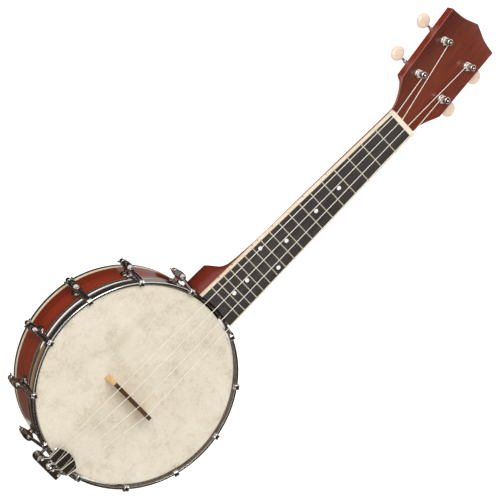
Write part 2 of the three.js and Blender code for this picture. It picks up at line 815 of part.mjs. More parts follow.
function edgeBinding(side) {
  const innerAtPot = boardHalfAtPotEnd + glueLine;
  const innerAtNut = boardHalfAtNutEnd + glueLine;
  const corners = [
    [side * innerAtPot, potEndY(innerAtPot)],
    [side * boardHalfWidthAtPot, potEndY(boardHalfWidthAtPot)],
    [side * boardHalfWidthAtNut, nutY - glueLine],
    [side * innerAtNut, nutY - glueLine],
  ];
  return slab(outline(corners), boardThickness).translate(0, 0, boardUnderZ);
}
addMesh(neckGroup, "board_binding_bass", edgeBinding(-1), creamBinding);
addMesh(neckGroup, "board_binding_treble", edgeBinding(1), creamBinding);

// Nut
const nutStringZ = boardTopZ + stringHeightAtNut;
const nutTopZ = nutStringZ - stringRadius - seatGap + nutSlotDepth;
const nutEndY = nutY + nutThickness;
const nutMiddleY = (nutY + nutEndY) / 2;
const nutStringX = courses(outerStringAtNut, innerStringAtNut);
const nutBlock = box(
  2 * boardHalfWidthAtNut,
  nutThickness,
  nutTopZ - boardUnderZ,
  0,
  nutMiddleY,
  (nutTopZ + boardUnderZ) / 2,
);
const nutSlots = nutStringX.map((x) =>
  box(nutSlotWidth, nutThickness + cutOverrun, 2 * nutSlotDepth, x, nutMiddleY, nutTopZ),
);
addMesh(neckGroup, "nut", cut(nutBlock, ...nutSlots), bone);

// Neck: a rounded shaft that swells into the heel, and the tilted headstock in one piece with it
const neckTopZ = boardUnderZ - glueLine;
const depthShares = [0, 0.25, 0.5, 0.72, 0.88, 0.97, 1];
const shaftWidthShares = [1, 0.965, 0.87, 0.72, 0.52, 0.3, 0.12];
const heelWidthShares = [1, 0.93, 0.82, 0.69, 0.57, 0.47, 0.38];
const twelfthY = nutY - scaleLength / 2;
const heelEndY = rimOuterRadius + heelLength;
const heelFootY = heelEndY + heelFootLength;
const heelSweepY = heelFootY + heelSweepLength;
const heelSweepEndY = heelSweepY + heelSweepEndLength;
const hoopPocketZ = fleshHoopBottomZ - pocketBelowHoop;
const sweepDepthShare = 0.33;
const sweepMiddleDepth = heelSweepDepth + sweepDepthShare * (heelFootDepth - heelSweepDepth);
const neckStations = [
  { y: rimInnerRadius, depth: heelDepth, heel: 1 },
  { y: heelEndY - heelCornerSetback, depth: heelDepth, heel: 1 },
  { y: heelEndY, depth: heelDepth - heelCornerSetback, heel: 1 },
  { y: (heelEndY + heelFootY) / 2, depth: (heelDepth + heelFootDepth) / 2, heel: 1 },
  { y: heelFootY, depth: heelFootDepth, heel: 0.85 },
  { y: (heelFootY + heelSweepY) / 2, depth: sweepMiddleDepth, heel: 0.6 },
  { y: heelSweepY, depth: heelSweepDepth, heel: 0.35 },
  { y: heelSweepEndY, depth: neckDepthAtTwelfth, heel: 0 },
  { y: twelfthY, depth: neckDepthAtTwelfth, heel: 0 },
  { y: (twelfthY + nutY) / 2, depth: (neckDepthAtTwelfth + neckDepthAtNut) / 2, heel: 0 },
  { y: nutEndY, depth: neckDepthAtNut, heel: 0 },
].sort((a, b) => a.y - b.y);
const neckLoops = neckStations.map(({ y, depth, heel }) => {
  const half = halfWidthAt(Math.max(Math.min(y, nutY), potEndRadius));
  const side = (sign) =>
    depthShares.map((down, i) => {
      const share = shaftWidthShares[i] + heel * (heelWidthShares[i] - shaftWidthShares[i]);
      return new THREE.Vector3(sign * half * share, y, neckTopZ - down * depth);
    });
  return [...side(1), ...side(-1).reverse()];
});
const neckShaft = skin(neckLoops);
const rimPocket = bar(rimOuterRadius + seatGap, -cutOverrun, hoopPocketZ + cutOverrun, ringSegments);
const hoopPocket = bar(potEndRadius, hoopPocketZ, boardTopZ, ringSegments);
const rodPocket = alongY(
  bar(rodRadius + runningGap, rimInnerRadius, rodNeckEnd + seatGap, barrelSegments),
).translate(0, 0, rodZ);

const throatShares = [[0, 0], [0.19, 0.07], [0.38, 0.22], [0.57, 0.43], [0.77, 0.7], [1, 1]];
const topEdgeShares = [[1, 0], [0.77, 0.6], [0.5, 1], [0.22, 0.5]];
const undersideShares = [0.3, 0.36, 0.44, 0.54, 0.7, 1];
const sideShares = [0.9, 0.9, 0.9, 0.9, 0.92, 1];
const throatSpread = lowerCornerHalfWidth - boardHalfWidthAtNut;
const throatHalf = throatShares.map(([along, out]) => [
  boardHalfWidthAtNut + out * throatSpread,
  along * lowerCornerAlong,
]);
const topEdgeRise = headstockLength - shoulderAlong;
const topEdgeHalf = topEdgeShares.map(([out, hollow]) => [
  out * shoulderHalfWidth,
  shoulderAlong + (1 - out) * topEdgeRise - hollow * topEdgeHollow,
]);

function headstockLoop(height, throatWidthShares) {
  const half = [...throatHalf.map(([x, y], k) => [x * throatWidthShares[k], y]), ...topEdgeHalf];
  const mirrored = half.map(([x, y]) => [-x, y]).reverse();
  return [...half, [0, headstockLength], ...mirrored].map(([x, y]) => new THREE.Vector3(x, y, height));
}
const headstockBlank = skin([
  headstockLoop(-headstockThickness, undersideShares),
  headstockLoop(-headstockThickness / 2, sideShares),
  headstockLoop(0, throatShares.map(() => 1)),
]);
const tunerPlaces = [
  { name: "bass_near", side: -1, along: lowerTunerAlong },
  { name: "bass_far", side: -1, along: lowerTunerAlong + tunerPitch },
  { name: "treble_far", side: 1, along: lowerTunerAlong + tunerPitch },
  { name: "treble_near", side: 1, along: lowerTunerAlong },
];
const tunerHoles = tunerPlaces.map(({ side, along }) =>
  bar(bushingRadius + seatGap, -headstockThickness - cutOverrun, cutOverrun, barrelSegments).translate(
    side * tunerHalfSpacing,
    along,
    0,
  ),
);
const headstockPlate = cut(headstockBlank, ...tunerHoles);
headstock.position.set(0, nutEndY, neckTopZ);
headstock.rotation.x = -THREE.MathUtils.degToRad(headstockTilt);
headstock.updateMatrix();
const neckBlank = cut(neckShaft, rimPocket, hoopPocket, rodPocket);
const neckSolid = join(neckBlank, headstockPlate.applyMatrix4(headstock.matrix));
addMesh(neckGroup, "neck", neckSolid, mahogany);

// Tuners: a housing with its bushing, a post on a gear, and a button on a worm shaft
const housingTopZ = -headstockThickness - seatGap;
const housingBottomZ = housingTopZ - tunerHousingDepth;
const wormZ = housingTopZ - wormDepth;
const wormOffset = gearRadius + wormRadius + runningGap;
const gearTopZ = wormZ + gearThickness / 2;
const gearBottomZ = wormZ - gearThickness / 2;
const postBoreRadius = postSpindleRadius + runningGap;
const bushingTopZ = seatGap + bushingFlangeHeight;
const housingOuterX = tunerHousingWidth / 2;
const halfHousing = tunerHousingLength / 2;
const housingMiddle = wormOffset / 2;

function tunerHousing(side) {
  const plan = outline([
    [-housingOuterX, -halfHousing + tunerHousingChamfer],
    [-housingOuterX + tunerHousingChamfer, -halfHousing],
    [housingOuterX - tunerHousingChamfer, -halfHousing],
    [housingOuterX, -halfHousing + tunerHousingChamfer],
    [housingOuterX, halfHousing - tunerHousingChamfer],
    [housingOuterX - tunerHousingChamfer, halfHousing],
    [-housingOuterX + tunerHousingChamfer, halfHousing],
    [-housingOuterX, halfHousing - tunerHousingChamfer],
  ]);
  const shell = slab(plan, tunerHousingDepth).translate(0, housingMiddle, housingBottomZ);
  const bushing = bar(bushingRadius, housingTopZ - cutOverrun, bushingTopZ, barrelSegments);
  const flange = bar(bushingFlangeRadius, seatGap, bushingTopZ, barrelSegments);
  const gearRoom = bar(
    gearRadius + runningGap,
    gearBottomZ - runningGap,
    gearTopZ + runningGap,
    barrelSegments,
  );
  const postBore = bar(postBoreRadius, gearBottomZ, bushingTopZ + cutOverrun, barrelSegments);
  const wormRoom = alongX(
    bar(wormRadius + runningGap, -wormHalfLength - runningGap, housingOuterX + cutOverrun, barrelSegments),
  );
  if (side < 0) wormRoom.rotateZ(Math.PI);
  wormRoom.translate(0, wormOffset, wormZ);
  return cut(join(shell, bushing, flange), gearRoom, postBore, wormRoom);
}

const lastWindingHeight = bushingFlangeHeight + windingAboveFlange;
const firstWindingHeight = lastWindingHeight + windingTurns * windingPitch;
const postHeadBase = firstWindingHeight + windingBelowPostHead;
const postHeight = postHeadBase + postHeadHeight;
const postTurned = turned(
  [
    [0, gearBottomZ],
    [gearRadius, gearBottomZ],
    [gearRadius, gearTopZ],
    [postSpindleRadius, gearTopZ],
    [postSpindleRadius, bushingTopZ + runningGap],
    [postWaistRadius, bushingTopZ + runningGap],
    [postWaistRadius, postHeadBase],
    [postRadius, postHeadBase + postEdge],
    [postRadius, postHeight - postEdge],
    [postWaistRadius, postHeight],
    [0, postHeight],
  ],
  barrelSegments,
);

function tunerButton(side) {
  const ellipse = Array.from({ length: buttonSegments }, (_, k) => {
    const turn = (k / buttonSegments) * 2 * Math.PI;
    return [buttonHalfWidth * Math.cos(turn), buttonHalfLength * Math.sin(turn)];
  });
  const reach = housingOuterX + buttonHousingGap + buttonHalfWidth;
  const disc = slab(outline(ellipse), buttonThickness, buttonEdge);
  disc.translate(reach, 0, -buttonThickness / 2);
  const collarEnd = reach - buttonHalfWidth + wormShaftRadius;
  const shaft = alongX(bar(wormShaftRadius, 0, reach, rodSegments));
  const worm = alongX(bar(wormRadius, -wormHalfLength, wormHalfLength, rodSegments));
  const collar = alongX(
    bar(buttonCollarRadius, collarEnd - buttonCollarLength, collarEnd, rodSegments, buttonCollarNeck),
  );
  const whole = join(disc, shaft, worm, collar);
  return side > 0 ? whole : whole.rotateZ(Math.PI);
}

for (const { name, side, along } of tunerPlaces) {
  const place = new THREE.Group();
  place.position.set(side * tunerHalfSpacing, along, 0);
  addMesh(place, "tuner_housing_" + name, tunerHousing(side), chrome);
  addMesh(place, "tuner_post_" + name, postTurned, chrome);
  const button = addMesh(place, "tuner_button_" + name, tunerButton(side), pearlPlastic);
  button.position.set(0, wormOffset, wormZ);
  headstock.add(place);
}

// Strings: from the tail flange over the bridge and the nut, then wound down their posts
const creaseStringX = courses(outerStringAtCrease, innerStringAtCrease);
const knotStringX = courses(outerStringAtKnot, innerStringAtKnot);
const stringKnotY = hangerY + knotBeforeHanger;
const knotZ = tailFlangeTopZ + stringKnotRadius + seatGap;
const stringLift = stringRadius + seatGap;
const windingRadius = postWaistRadius + seatGap + stringRadius;

function leastSelfGap(points, skip) {
  let least = Infinity;
  for (let i = 0; i < points.length; i++)
    for (let j = i + skip; j < points.length; j++) least = Math.min(least, points[i].distanceTo(points[j]));
  return least - stringRadius - stringRadius;
}

tunerPlaces.forEach(({ name, side, along }, i) => {
  const post = new THREE.Vector3(side * tunerHalfSpacing, along, 0);
  const nutPoint = new THREE.Vector3(nutStringX[i], nutEndY, nutStringZ);
  const nutOnPlate = nutPoint.clone().applyMatrix4(headstock.matrix.clone().invert());
  const toPost = Math.atan2(post.y - nutOnPlate.y, post.x - nutOnPlate.x);
  const distance = Math.hypot(post.x - nutOnPlate.x, post.y - nutOnPlate.y);
  const touch = toPost + side * (Math.PI / 2 + Math.asin(windingRadius / distance));
  const winding = Array.from({ length: windingTurns * windingSteps + 1 }, (_, k) => {
    const turn = touch - side * (k / windingSteps) * 2 * Math.PI;
    const height = firstWindingHeight - (k / windingSteps) * windingPitch;
    return new THREE.Vector3(
      post.x + windingRadius * Math.cos(turn),
      post.y + windingRadius * Math.sin(turn),
      height,
    ).applyMatrix4(headstock.matrix);
  });
  const gap = leastSelfGap(winding, windingSteps / 2);
  console.log("string on " + name + " least gap between turns " + gap.toFixed(2));
  const knotX = knotStringX[i];
  const path = [
    new THREE.Vector3(knotX, stringKnotY - stringKnotLength, knotZ),
    new THREE.Vector3(knotX, stringKnotY, knotZ),
    new THREE.Vector3(knotX, stringKnotY + stringRadius, knotZ + stringRadius),
    new THREE.Vector3(creaseStringX[i], tailCreaseY, tailPlateTopZ + stringLift + seatGap),
    new THREE.Vector3(bridgeStringX[i], bridgeY, bridgeStringZ),
    new THREE.Vector3(nutStringX[i], nutY, nutStringZ),
    nutPoint,
    ...winding,
  ];
  const radii = path.map((_, k) => (k < 2 ? stringKnotRadius : stringRadius));
  addMesh(neckGroup, "string_" + (i + 1), tube(path, radii, windingSides), nylon);
});

// The whole instrument, with its origin under the middle of its box
const instrument = new THREE.Group();
neckGroup.add(headstock);
instrument.add(pot, neckGroup);
instrument.updateMatrixWorld(true);
const bounds = new THREE.Box3().setFromObject(instrument);
const middle = bounds.getCenter(new THREE.Vector3());
instrument.position.set(-middle.x, -middle.y, -bounds.min.z);

export default instrument;
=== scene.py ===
"""The looks of a banjo ukulele that lies on its open back, in metres, neck along +Y."""

import json

import bmesh
import bpy
import numpy as np
from mathutils import Matrix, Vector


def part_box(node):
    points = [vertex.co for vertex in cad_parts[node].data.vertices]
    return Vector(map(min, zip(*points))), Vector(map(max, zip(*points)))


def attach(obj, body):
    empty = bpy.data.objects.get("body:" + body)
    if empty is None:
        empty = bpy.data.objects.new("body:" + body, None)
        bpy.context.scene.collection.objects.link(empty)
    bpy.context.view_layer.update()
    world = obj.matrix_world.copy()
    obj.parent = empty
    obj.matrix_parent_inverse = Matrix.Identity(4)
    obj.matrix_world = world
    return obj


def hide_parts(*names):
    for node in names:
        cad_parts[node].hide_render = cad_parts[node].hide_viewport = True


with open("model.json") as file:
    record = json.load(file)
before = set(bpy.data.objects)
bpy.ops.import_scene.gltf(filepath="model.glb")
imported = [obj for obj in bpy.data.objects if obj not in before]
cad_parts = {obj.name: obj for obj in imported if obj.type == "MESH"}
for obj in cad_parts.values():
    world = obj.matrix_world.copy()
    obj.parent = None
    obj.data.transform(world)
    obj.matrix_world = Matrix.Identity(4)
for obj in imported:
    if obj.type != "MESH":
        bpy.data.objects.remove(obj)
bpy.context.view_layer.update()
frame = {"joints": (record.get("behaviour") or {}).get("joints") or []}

# Camera
# The picture looks down on the drum head from the tail end and the bass side, through a long lens.
# Its place is counted from the middle of the pot's open back.


def extent(name):
    """The lowest and the highest corner of a solid."""
    return (np.array(corner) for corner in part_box(name))


def placed(name, data):
    """A new object in the scene."""
    made = bpy.data.objects.new(name, data)
    bpy.context.scene.collection.objects.link(made)
    return made


def standing(place, right, up, back):
    """The place and turn of a camera or lamp whose own axes run along right, up and back."""
    return Matrix.Translation(place) @ Matrix((right, up, back)).transposed().to_4x4()


rim_low, rim_high = extent("rim")
pot_centre = np.array([(rim_low[0] + rim_high[0]) / 2, (rim_low[1] + rim_high[1]) / 2, rim_low[2]])
camera_from_pot = np.array([-2.73786, -0.09589, 4.72124])
view_right = (0.5944, 0.7042, 0.3883)
view_up = (-0.6265, 0.7082, -0.3254)
view_back = (-0.5042, -0.0498, 0.8621)
camera = placed("camera", bpy.data.cameras.new("camera"))
camera.data.lens = 396.4
camera.data.sensor_width = 36
camera.data.clip_end = 30
camera.matrix_world = standing(pot_centre + camera_from_pot, view_right, view_up, view_back)
bpy.context.scene.camera = camera

# Rim
# The pot is a ring of bent and glued wood under a red brown lacquer, with a rebate round its top edge.
# Its profile is carried round the pot's axis, and the grain runs round the ring.
rim_radius = (rim_high[0] - rim_low[0]) / 2
rim_inner = rim_radius - 0.012
rim_top = rim_high[2]
rim_rebate_radius = rim_radius - 0.0014
rim_rebate_z = 0.0495
edge_band_width = 0.0022
edge_band_height = 0.0082
ring_segments = 360


def mm(*values):
    """Millimetres as metres."""
    return np.array(values) / 1000


def rounded(corners, radius, steps=5):
    """A closed outline whose corners P become curves (1-s)^2 A + 2s(1-s) P + s^2 B, cut back by radius."""
    points = np.array(corners, float)
    before = np.roll(points, 1, axis=0) - points
    after = np.roll(points, -1, axis=0) - points
    reach_before = np.linalg.norm(before, axis=1)
    reach_after = np.linalg.norm(after, axis=1)
    setback = np.minimum(radius, 0.48 * np.minimum(reach_before, reach_after))
    start = (points + before * (setback / reach_before)[:, None])[:, None]
    end = (points + after * (setback / reach_after)[:, None])[:, None]
    share = np.linspace(0, 1, steps + 1)[None, :, None]
    curve = (1 - share) ** 2 * start + 2 * share * (1 - share) * points[:, None] + share**2 * end
    return curve.reshape(-1, points.shape[1])


def skin(grid, close_rows=False, close_columns=True, caps=False):
    """Points and faces over a grid[row, column]: a quad between neighbours, and a face over each end row."""
    rows, columns = grid.shape[:2]
    row, column = np.meshgrid(
        np.arange(rows if close_rows else rows - 1),
        np.arange(columns if close_columns else columns - 1),
        indexing="ij",
    )
    next_row, next_column = (row + 1) % rows, (column + 1) % columns
    corners = [(row, column), (row, next_column), (next_row, next_column), (next_row, column)]
    faces = np.stack([r * columns + c for r, c in corners], axis=-1).reshape(-1, 4).tolist()
    if caps:
        faces.append(list(range(columns))[::-1])
        faces.append(list(range((rows - 1) * columns, rows * columns)))
    return grid.reshape(-1, 3), faces


def turned(profile, segments=ring_segments, closed=True):
    """A profile (r, z) carried round the Z axis: (r cos a, r sin a, z). One that isn't closed ends there."""
    profile = np.array(profile, float)
    angle = np.linspace(0, 2 * np.pi, segments, endpoint=False)[:, None]
    radius, height = profile[:, 0], profile[:, 1]
    grid = np.stack([radius * np.cos(angle), radius * np.sin(angle), height + 0 * angle], axis=-1)
    return skin(grid, True, closed)


def seated(part, origin, x_axis=(1, 0, 0), y_axis=(0, 1, 0), z_axis=(0, 0, 1)):
    """A part set down at origin: its own x, y and z run along the three axes."""
    points, faces = part
    return np.array(origin) + points @ np.array([x_axis, y_axis, z_axis], float), faces


def built(name, points, faces, material):
    """A new object in the scene with a mesh of points and faces."""
    mesh = bpy.data.meshes.new(name)
    mesh.from_pydata(points.tolist(), [], faces)
    mesh.materials.append(material)
    return placed(name, mesh)


def piece(name, parts, material, slot, *nodes, body="instrument", sharp=35):
    """One object from several parts: doubles merged, faces outwards, edges past sharp degrees crisp."""
    offsets = np.cumsum([0] + [len(points) for points, _ in parts])
    points = np.concatenate([points for points, _ in parts])
    faces = [[k + int(offset) for k in face] for (_, part), offset in zip(parts, offsets) for face in part]
    made = built(name, points, faces, material)
    shape = bmesh.new()
    shape.from_mesh(made.data)
    bmesh.ops.remove_doubles(shape, verts=shape.verts, dist=1e-6)
    bmesh.ops.recalc_face_normals(shape, faces=shape.faces)
    shape.to_mesh(made.data)
    shape.free()
    made.data.shade_smooth()
    made.data.set_sharp_from_angle(angle=np.radians(sharp))
    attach(made, body)
    if nodes:
        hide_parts(*nodes)
    return made


def colour(red, green, blue):
    """A colour as a picture shows it, 0 to 255, turned into linear light."""
    share = np.array([red, green, blue]) / 255
    linear = np.where(share <= 0.04045, share / 12.92, ((share + 0.055) / 1.055) ** 2.4)
    return (*linear.tolist(), 1)


def node(tree, kind, inputs=None, **settings):
    """A shader node with its settings made, and its inputs filled or linked."""
    made = tree.nodes.new("ShaderNode" + kind)
    for key, value in settings.items():
        setattr(made, key, value)
    for key, value in (inputs or {}).items():
        if isinstance(value, bpy.types.NodeSocket):
            tree.links.new(value, made.inputs[key])
        else:
            made.inputs[key].default_value = value
    return made


def reckoned(tree, operation, first, second):
    """The result of one sum on two values."""
    return node(tree, "Math", {0: first, 1: second}, operation=operation).outputs[0]


def spread(tree, value, start, end, low=0.0, high=1.0):
    """A value's stretch from start to end, laid out from low to high."""
    ends = {"From Min": start, "From Max": end, "To Min": low, "To Max": high}
    return node(tree, "MapRange", {"Value": value, **ends}).outputs[0]


def noise(tree, vector, stretch=None, scale=1.0, **values):
    """The grey value of a noise over a vector, which may be stretched first."""
    if stretch:
        vector = node(tree, "Mapping", {"Vector": vector, "Scale": stretch}).outputs[0]
    return node(tree, "TexNoise", {"Vector": vector, "Scale": scale, **values}).outputs["Fac"]


def blended(tree, share, first, second):
    """Two colours mixed by a share: a Mix node takes them at places 6 and 7, and gives one at place 2."""
    return node(tree, "Mix", {"Factor": share, 6: first, 7: second}, data_type="RGBA").outputs[2]


def mingled(tree, share, first, second):
    """Two values mixed by a share."""
    return node(tree, "Mix", {"Factor": share, "A": first, "B": second}, data_type="FLOAT").outputs[0]


def ramp(tree, factor, stops):
    """A colour ramp over a factor, its stops given as (place, colour)."""
    made = node(tree, "ValToRGB", {"Fac": factor})
    elements = made.color_ramp.elements
    while len(elements) < len(stops):
        elements.new(0.5)
    for element, (place, shade) in zip(elements, stops):
        element.position = place
        element.color = colour(*shade)
    return made.outputs["Color"]


def embossed(tree, shader, height, strength, distance):
    """A bump on the shader."""
    relief = node(tree, "Bump", {"Height": height, "Strength": strength, "Distance": distance})
    tree.links.new(relief.outputs["Normal"], shader.inputs["Normal"])


# Wood grain runs along the vector's x: long streaks, short dark pores, and broad bands of light and dark
wood_grain = bpy.data.node_groups.new("wood_grain", "ShaderNodeTree")
grain_takes = [("Vector", "Vector"), ("Light", "Color"), ("Dark", "Color"), ("Pore", "Color")]
grain_takes += [("Fineness", "Float"), ("Pores", "Float")]
grain_gives = [("Color", "Color"), ("Roughness", "Float"), ("Height", "Float")]
for way, sockets in (("INPUT", grain_takes), ("OUTPUT", grain_gives)):
    for label, kind in sockets:
        wood_grain.interface.new_socket(label, in_out=way, socket_type="NodeSocket" + kind)
grain_in = wood_grain.nodes.new("NodeGroupInput").outputs
grain_out = wood_grain.nodes.new("NodeGroupOutput").inputs
fine = node(
    wood_grain, "VectorMath", {0: grain_in["Vector"], "Scale": grain_in["Fineness"]}, operation="SCALE"
).outputs[0]
streaks = noise(wood_grain, fine, (14, 320, 320), Detail=5, Roughness=0.62)
bands = noise(wood_grain, fine, (5, 46, 46), Detail=3, Distortion=0.6)
pore_spots = spread(wood_grain, noise(wood_grain, fine, (90, 2400, 2400), Detail=1), 0.36, 0.3)
pore_share = reckoned(wood_grain, "MULTIPLY", pore_spots, grain_in["Pores"])
tone_share = spread(wood_grain, mingled(wood_grain, 0.45, streaks, bands), 0.34, 0.66)
stained = blended(wood_grain, tone_share, grain_in["Dark"], grain_in["Light"])
pored = blended(wood_grain, pore_share, stained, grain_in["Pore"])
wood_grain.links.new(pored, grain_out["Color"])
wood_grain.links.new(spread(wood_grain, bands, 0.3, 0.7, 0.26, 0.38), grain_out["Roughness"])
wood_grain.links.new(reckoned(wood_grain, "SUBTRACT", streaks, pore_share), grain_out["Height"])


def finish(name, **values):
    """A material with its Principled shader and Object coordinates at hand."""
    made = bpy.data.materials.new(name)
    made.use_nodes = True
    tree = made.node_tree
    shader = tree.nodes["Principled BSDF"]
    for label, value in values.items():
        shader.inputs[label.replace("_", " ")].default_value = value
    return made, tree, shader, node(tree, "TexCoord").outputs["Object"]


def wooden(name, light, dark, pore, lie=None, fineness=1, pores=0.5, bump=0.15, **values):
    """A wood finish: the grain group over Object coordinates, or over the vector that lie makes from them."""
    made, tree, shader, place = finish(name, **values)
    grain = tree.nodes.new("ShaderNodeGroup")
    grain.node_tree = wood_grain
    tree.links.new(lie(tree, place) if lie else place, grain.inputs["Vector"])
    for label, shade in (("Light", light), ("Dark", dark), ("Pore", pore)):
        grain.inputs[label].default_value = colour(*shade)
    grain.inputs["Fineness"].default_value = fineness
    grain.inputs["Pores"].default_value = pores
    embossed(tree, shader, grain.outputs["Height"], bump, 0.0002)
    tree.links.new(grain.outputs["Color"], shader.inputs["Base Color"])
    tree.links.new(grain.outputs["Roughness"], shader.inputs["Roughness"])
    return made


def joined(tree, x, y, z=0.0):
    """A vector from its three shares."""
    return node(tree, "CombineXYZ", {"X": x, "Y": y, "Z": z}).outputs[0]


def round_the_pot(tree, place):
    """Grain round the ring: x is the arc length from the tail, y the height, z the distance from the axis."""
    centred = node(tree, "Mapping", {"Vector": place, "Location": tuple(-pot_centre)}).outputs[0]
    x, y, z = node(tree, "SeparateXYZ", {"Vector": centred}).outputs
    angle = reckoned(tree, "ARCTAN2", x, reckoned(tree, "MULTIPLY", y, -1.0))
    reach = node(tree, "VectorMath", {0: joined(tree, x, y)}, operation="LENGTH").outputs["Value"]
    return joined(tree, reckoned(tree, "MULTIPLY", angle, float(rim_radius)), z, reach)


lacquered = {"Coat_Weight": 0.3, "Coat_Roughness": 0.06}
rim_shades = ((154, 50, 12), (108, 31, 8), (60, 20, 10))
rim_lacquer = wooden("rim_lacquer", *rim_shades, round_the_pot, pores=0.35, bump=0.08, **lacquered)
band_seat = rim_radius - edge_band_width
rim_profile = rounded(
    [
        (rim_inner, 0),
        (band_seat, 0),
        (band_seat, edge_band_height),
        (rim_radius, edge_band_height),
        (rim_radius, rim_rebate_z),
        (rim_rebate_radius, rim_rebate_z),
        (rim_rebate_radius, rim_top),
        (rim_inner, rim_top),
    ],
    mm(0.8, 0.05, 0.05, 0.15, 0.4, 0.1, 1.8, 0.8),
)
piece("rim_ring", [seated(turned(rim_profile), pot_centre)], rim_lacquer, "rim", "rim")

# Edge bands
# A thin black ply and a cream plastic band are let into the rim's back edge and scraped flush with it.
# Both are rings of a small rounded profile.
_, ply_high = extent("rim_black_ply")
band_low, band_high = extent("rim_binding")
band_inner = band_seat + 0.0002


def dusted(name, base, shade, scale=60, bump=0.05, **values):
    """A plastic or bone finish: its colour drifts a little towards a second shade, with a faint grain."""
    made, tree, shader, place = finish(name, **values)
    drift = noise(tree, place, scale=scale, Detail=4, Roughness=0.6)
    tree.links.new(ramp(tree, drift, [(0.35, shade), (0.65, base)]), shader.inputs["Base Color"])
    embossed(tree, shader, noise(tree, place, scale=scale * 30, Detail=2), bump, 0.0001)
    return made


def ring(inner, outer, low, high, edge, steps=5):
    """A ring of rectangular section about the pot's axis, its four corners rounded by edge."""
    profile = rounded([(inner, low), (outer, low), (outer, high), (inner, high)], edge, steps)
    return seated(turned(profile), pot_centre)


black_ply = dusted("black_ply", (44, 34, 30), (28, 22, 20), Roughness=0.35)
cream_binding = dusted("cream_binding", (236, 222, 194), (224, 206, 172), Roughness=0.32)
ply_ring = ring(band_inner, rim_radius, 0, ply_high[2], mm(0.3, 2.2, 0.1, 0.3))
band_ring = ring(band_inner, rim_radius, band_low[2] - 0.0002, band_high[2], 0.0003)
piece("edge_black_ply", [ply_ring], black_ply, "black_ply", "rim_black_ply")
piece("edge_cream_band", [band_ring], cream_binding, "cream_binding", "rim_binding")

# Drum head
# A plastic film with the look of calfskin, pulled down over the rim's edge between the two hoops.
# It is a disc of rings; soft smudges are laid on where the skin print is darker.
head_low, head_high = extent("drum_head")
head_edge = (head_high[0] - head_low[0]) / 2
head_flat = head_edge - 0.0009
head_thickness = 0.0005
head_rings = 90
head_top = head_high[2]
turn_down = [
    (head_edge - 0.0003, head_top - 0.0002),
    (head_edge - 0.00005, head_top - 0.0008),
    (head_edge, head_low[2]),
    (head_edge - head_thickness, head_low[2]),
    (head_edge - head_thickness, head_top - 0.001),
    (head_flat, head_top - head_thickness),
    (0, head_top - head_thickness),
]
head_disc = np.stack([np.linspace(0, head_flat, head_rings), np.full(head_rings, head_top)], axis=1)
skin_film, skin_tree, skin_shader, skin_place = finish("skin_film", Roughness=0.42)
skin_centred = node(skin_tree, "Mapping", {"Vector": skin_place, "Location": tuple(-pot_centre)}).outputs[0]
fibres = noise(skin_tree, skin_centred, (420, 260, 300), Detail=6, Roughness=0.6)
clouds = noise(skin_tree, skin_centred, scale=44, Detail=9, Roughness=0.78, Distortion=0.3)
skin_stops = [(0.38, (199, 188, 165)), (0.48, (218, 208, 188)), (0.60, (226, 217, 199))]
skin_colour = ramp(skin_tree, mingled(skin_tree, 0.7, fibres, clouds), skin_stops)
smudge = node(skin_tree, "Attribute", attribute_name="smudge").outputs["Fac"]
smudge_share = reckoned(skin_tree, "MULTIPLY", smudge, clouds)
smudged = blended(skin_tree, smudge_share, skin_colour, colour(186, 172, 146))
skin_tree.links.new(smudged, skin_shader.inputs["Base Color"])
embossed(skin_tree, skin_shader, noise(skin_tree, skin_centred, scale=900, Detail=3), 0.06, 0.0001)
head_part = seated(turned(np.concatenate([head_disc, turn_down])), pot_centre)
head = piece("skin_head", [head_part], skin_film, "head_film", "drum_head", sharp=60)
# Each smudge: its middle across and along the pot, its half width and half length, and its strength
smudges = np.array(
    [
        (0.002, -0.054, 0.012, 0.006, 0.9),
        (0.026, -0.087, 0.007, 0.004, 0.8),
        (-0.047, 0.020, 0.006, 0.012, 0.8),
        (-0.047, 0.048, 0.005, 0.006, 0.7),
        (-0.045, 0.058, 0.005, 0.005, 0.6),
        (-0.062, -0.022, 0.012, 0.018, 0.3),
        (0.030, -0.030, 0.014, 0.026, 0.3),
        (0.052, 0.018, 0.010, 0.030, 0.3),
        (0.018, 0.040, 0.006, 0.040, 0.25),
    ]
)


def vectors_of(elements, label):
    """The named vector of each of a mesh's vertices or faces, one to a row."""
    flat = np.empty(len(elements) * 3)
    elements.foreach_get(label, flat)
    return flat.reshape(-1, 3)


apart = vectors_of(head.data.vertices, "co")[:, None, :2] - pot_centre[:2] - smudges[None, :, :2]
strength = np.exp(-((apart / smudges[None, :, 2:4]) ** 2).sum(axis=2)) @ smudges[:, 4]
head.data.attributes.new("smudge", "FLOAT", "POINT").data.foreach_set("value", strength)

# Hoops
# A flesh hoop sits under the drum head's edge, and the chromed tension hoop presses on it from above.
# Both are rings with softly rounded edges.
flesh_low, flesh_high = extent("flesh_hoop")
hoop_low, hoop_high = extent("tension_hoop")
hoop_radius = (hoop_high[0] - hoop_low[0]) / 2
hoop_inner = hoop_radius - 0.0024
flesh_radius = (flesh_high[0] - flesh_low[0]) / 2
flesh_inner = flesh_radius - 0.0046


def metal(name, base, roughness, haze, grain=(40, 40, 40), plating=1.0):
    """A plated metal: its roughness drifts between two values, over a faint unevenness."""
    made, tree, shader, place = finish(name, Metallic=plating, Base_Color=colour(*base))
    drift = noise(tree, place, grain, Detail=5)
    tree.links.new(spread(tree, drift, 0.35, 0.65, roughness, haze), shader.inputs["Roughness"])
    embossed(tree, shader, drift, 0.012, 0.0003)
    return made


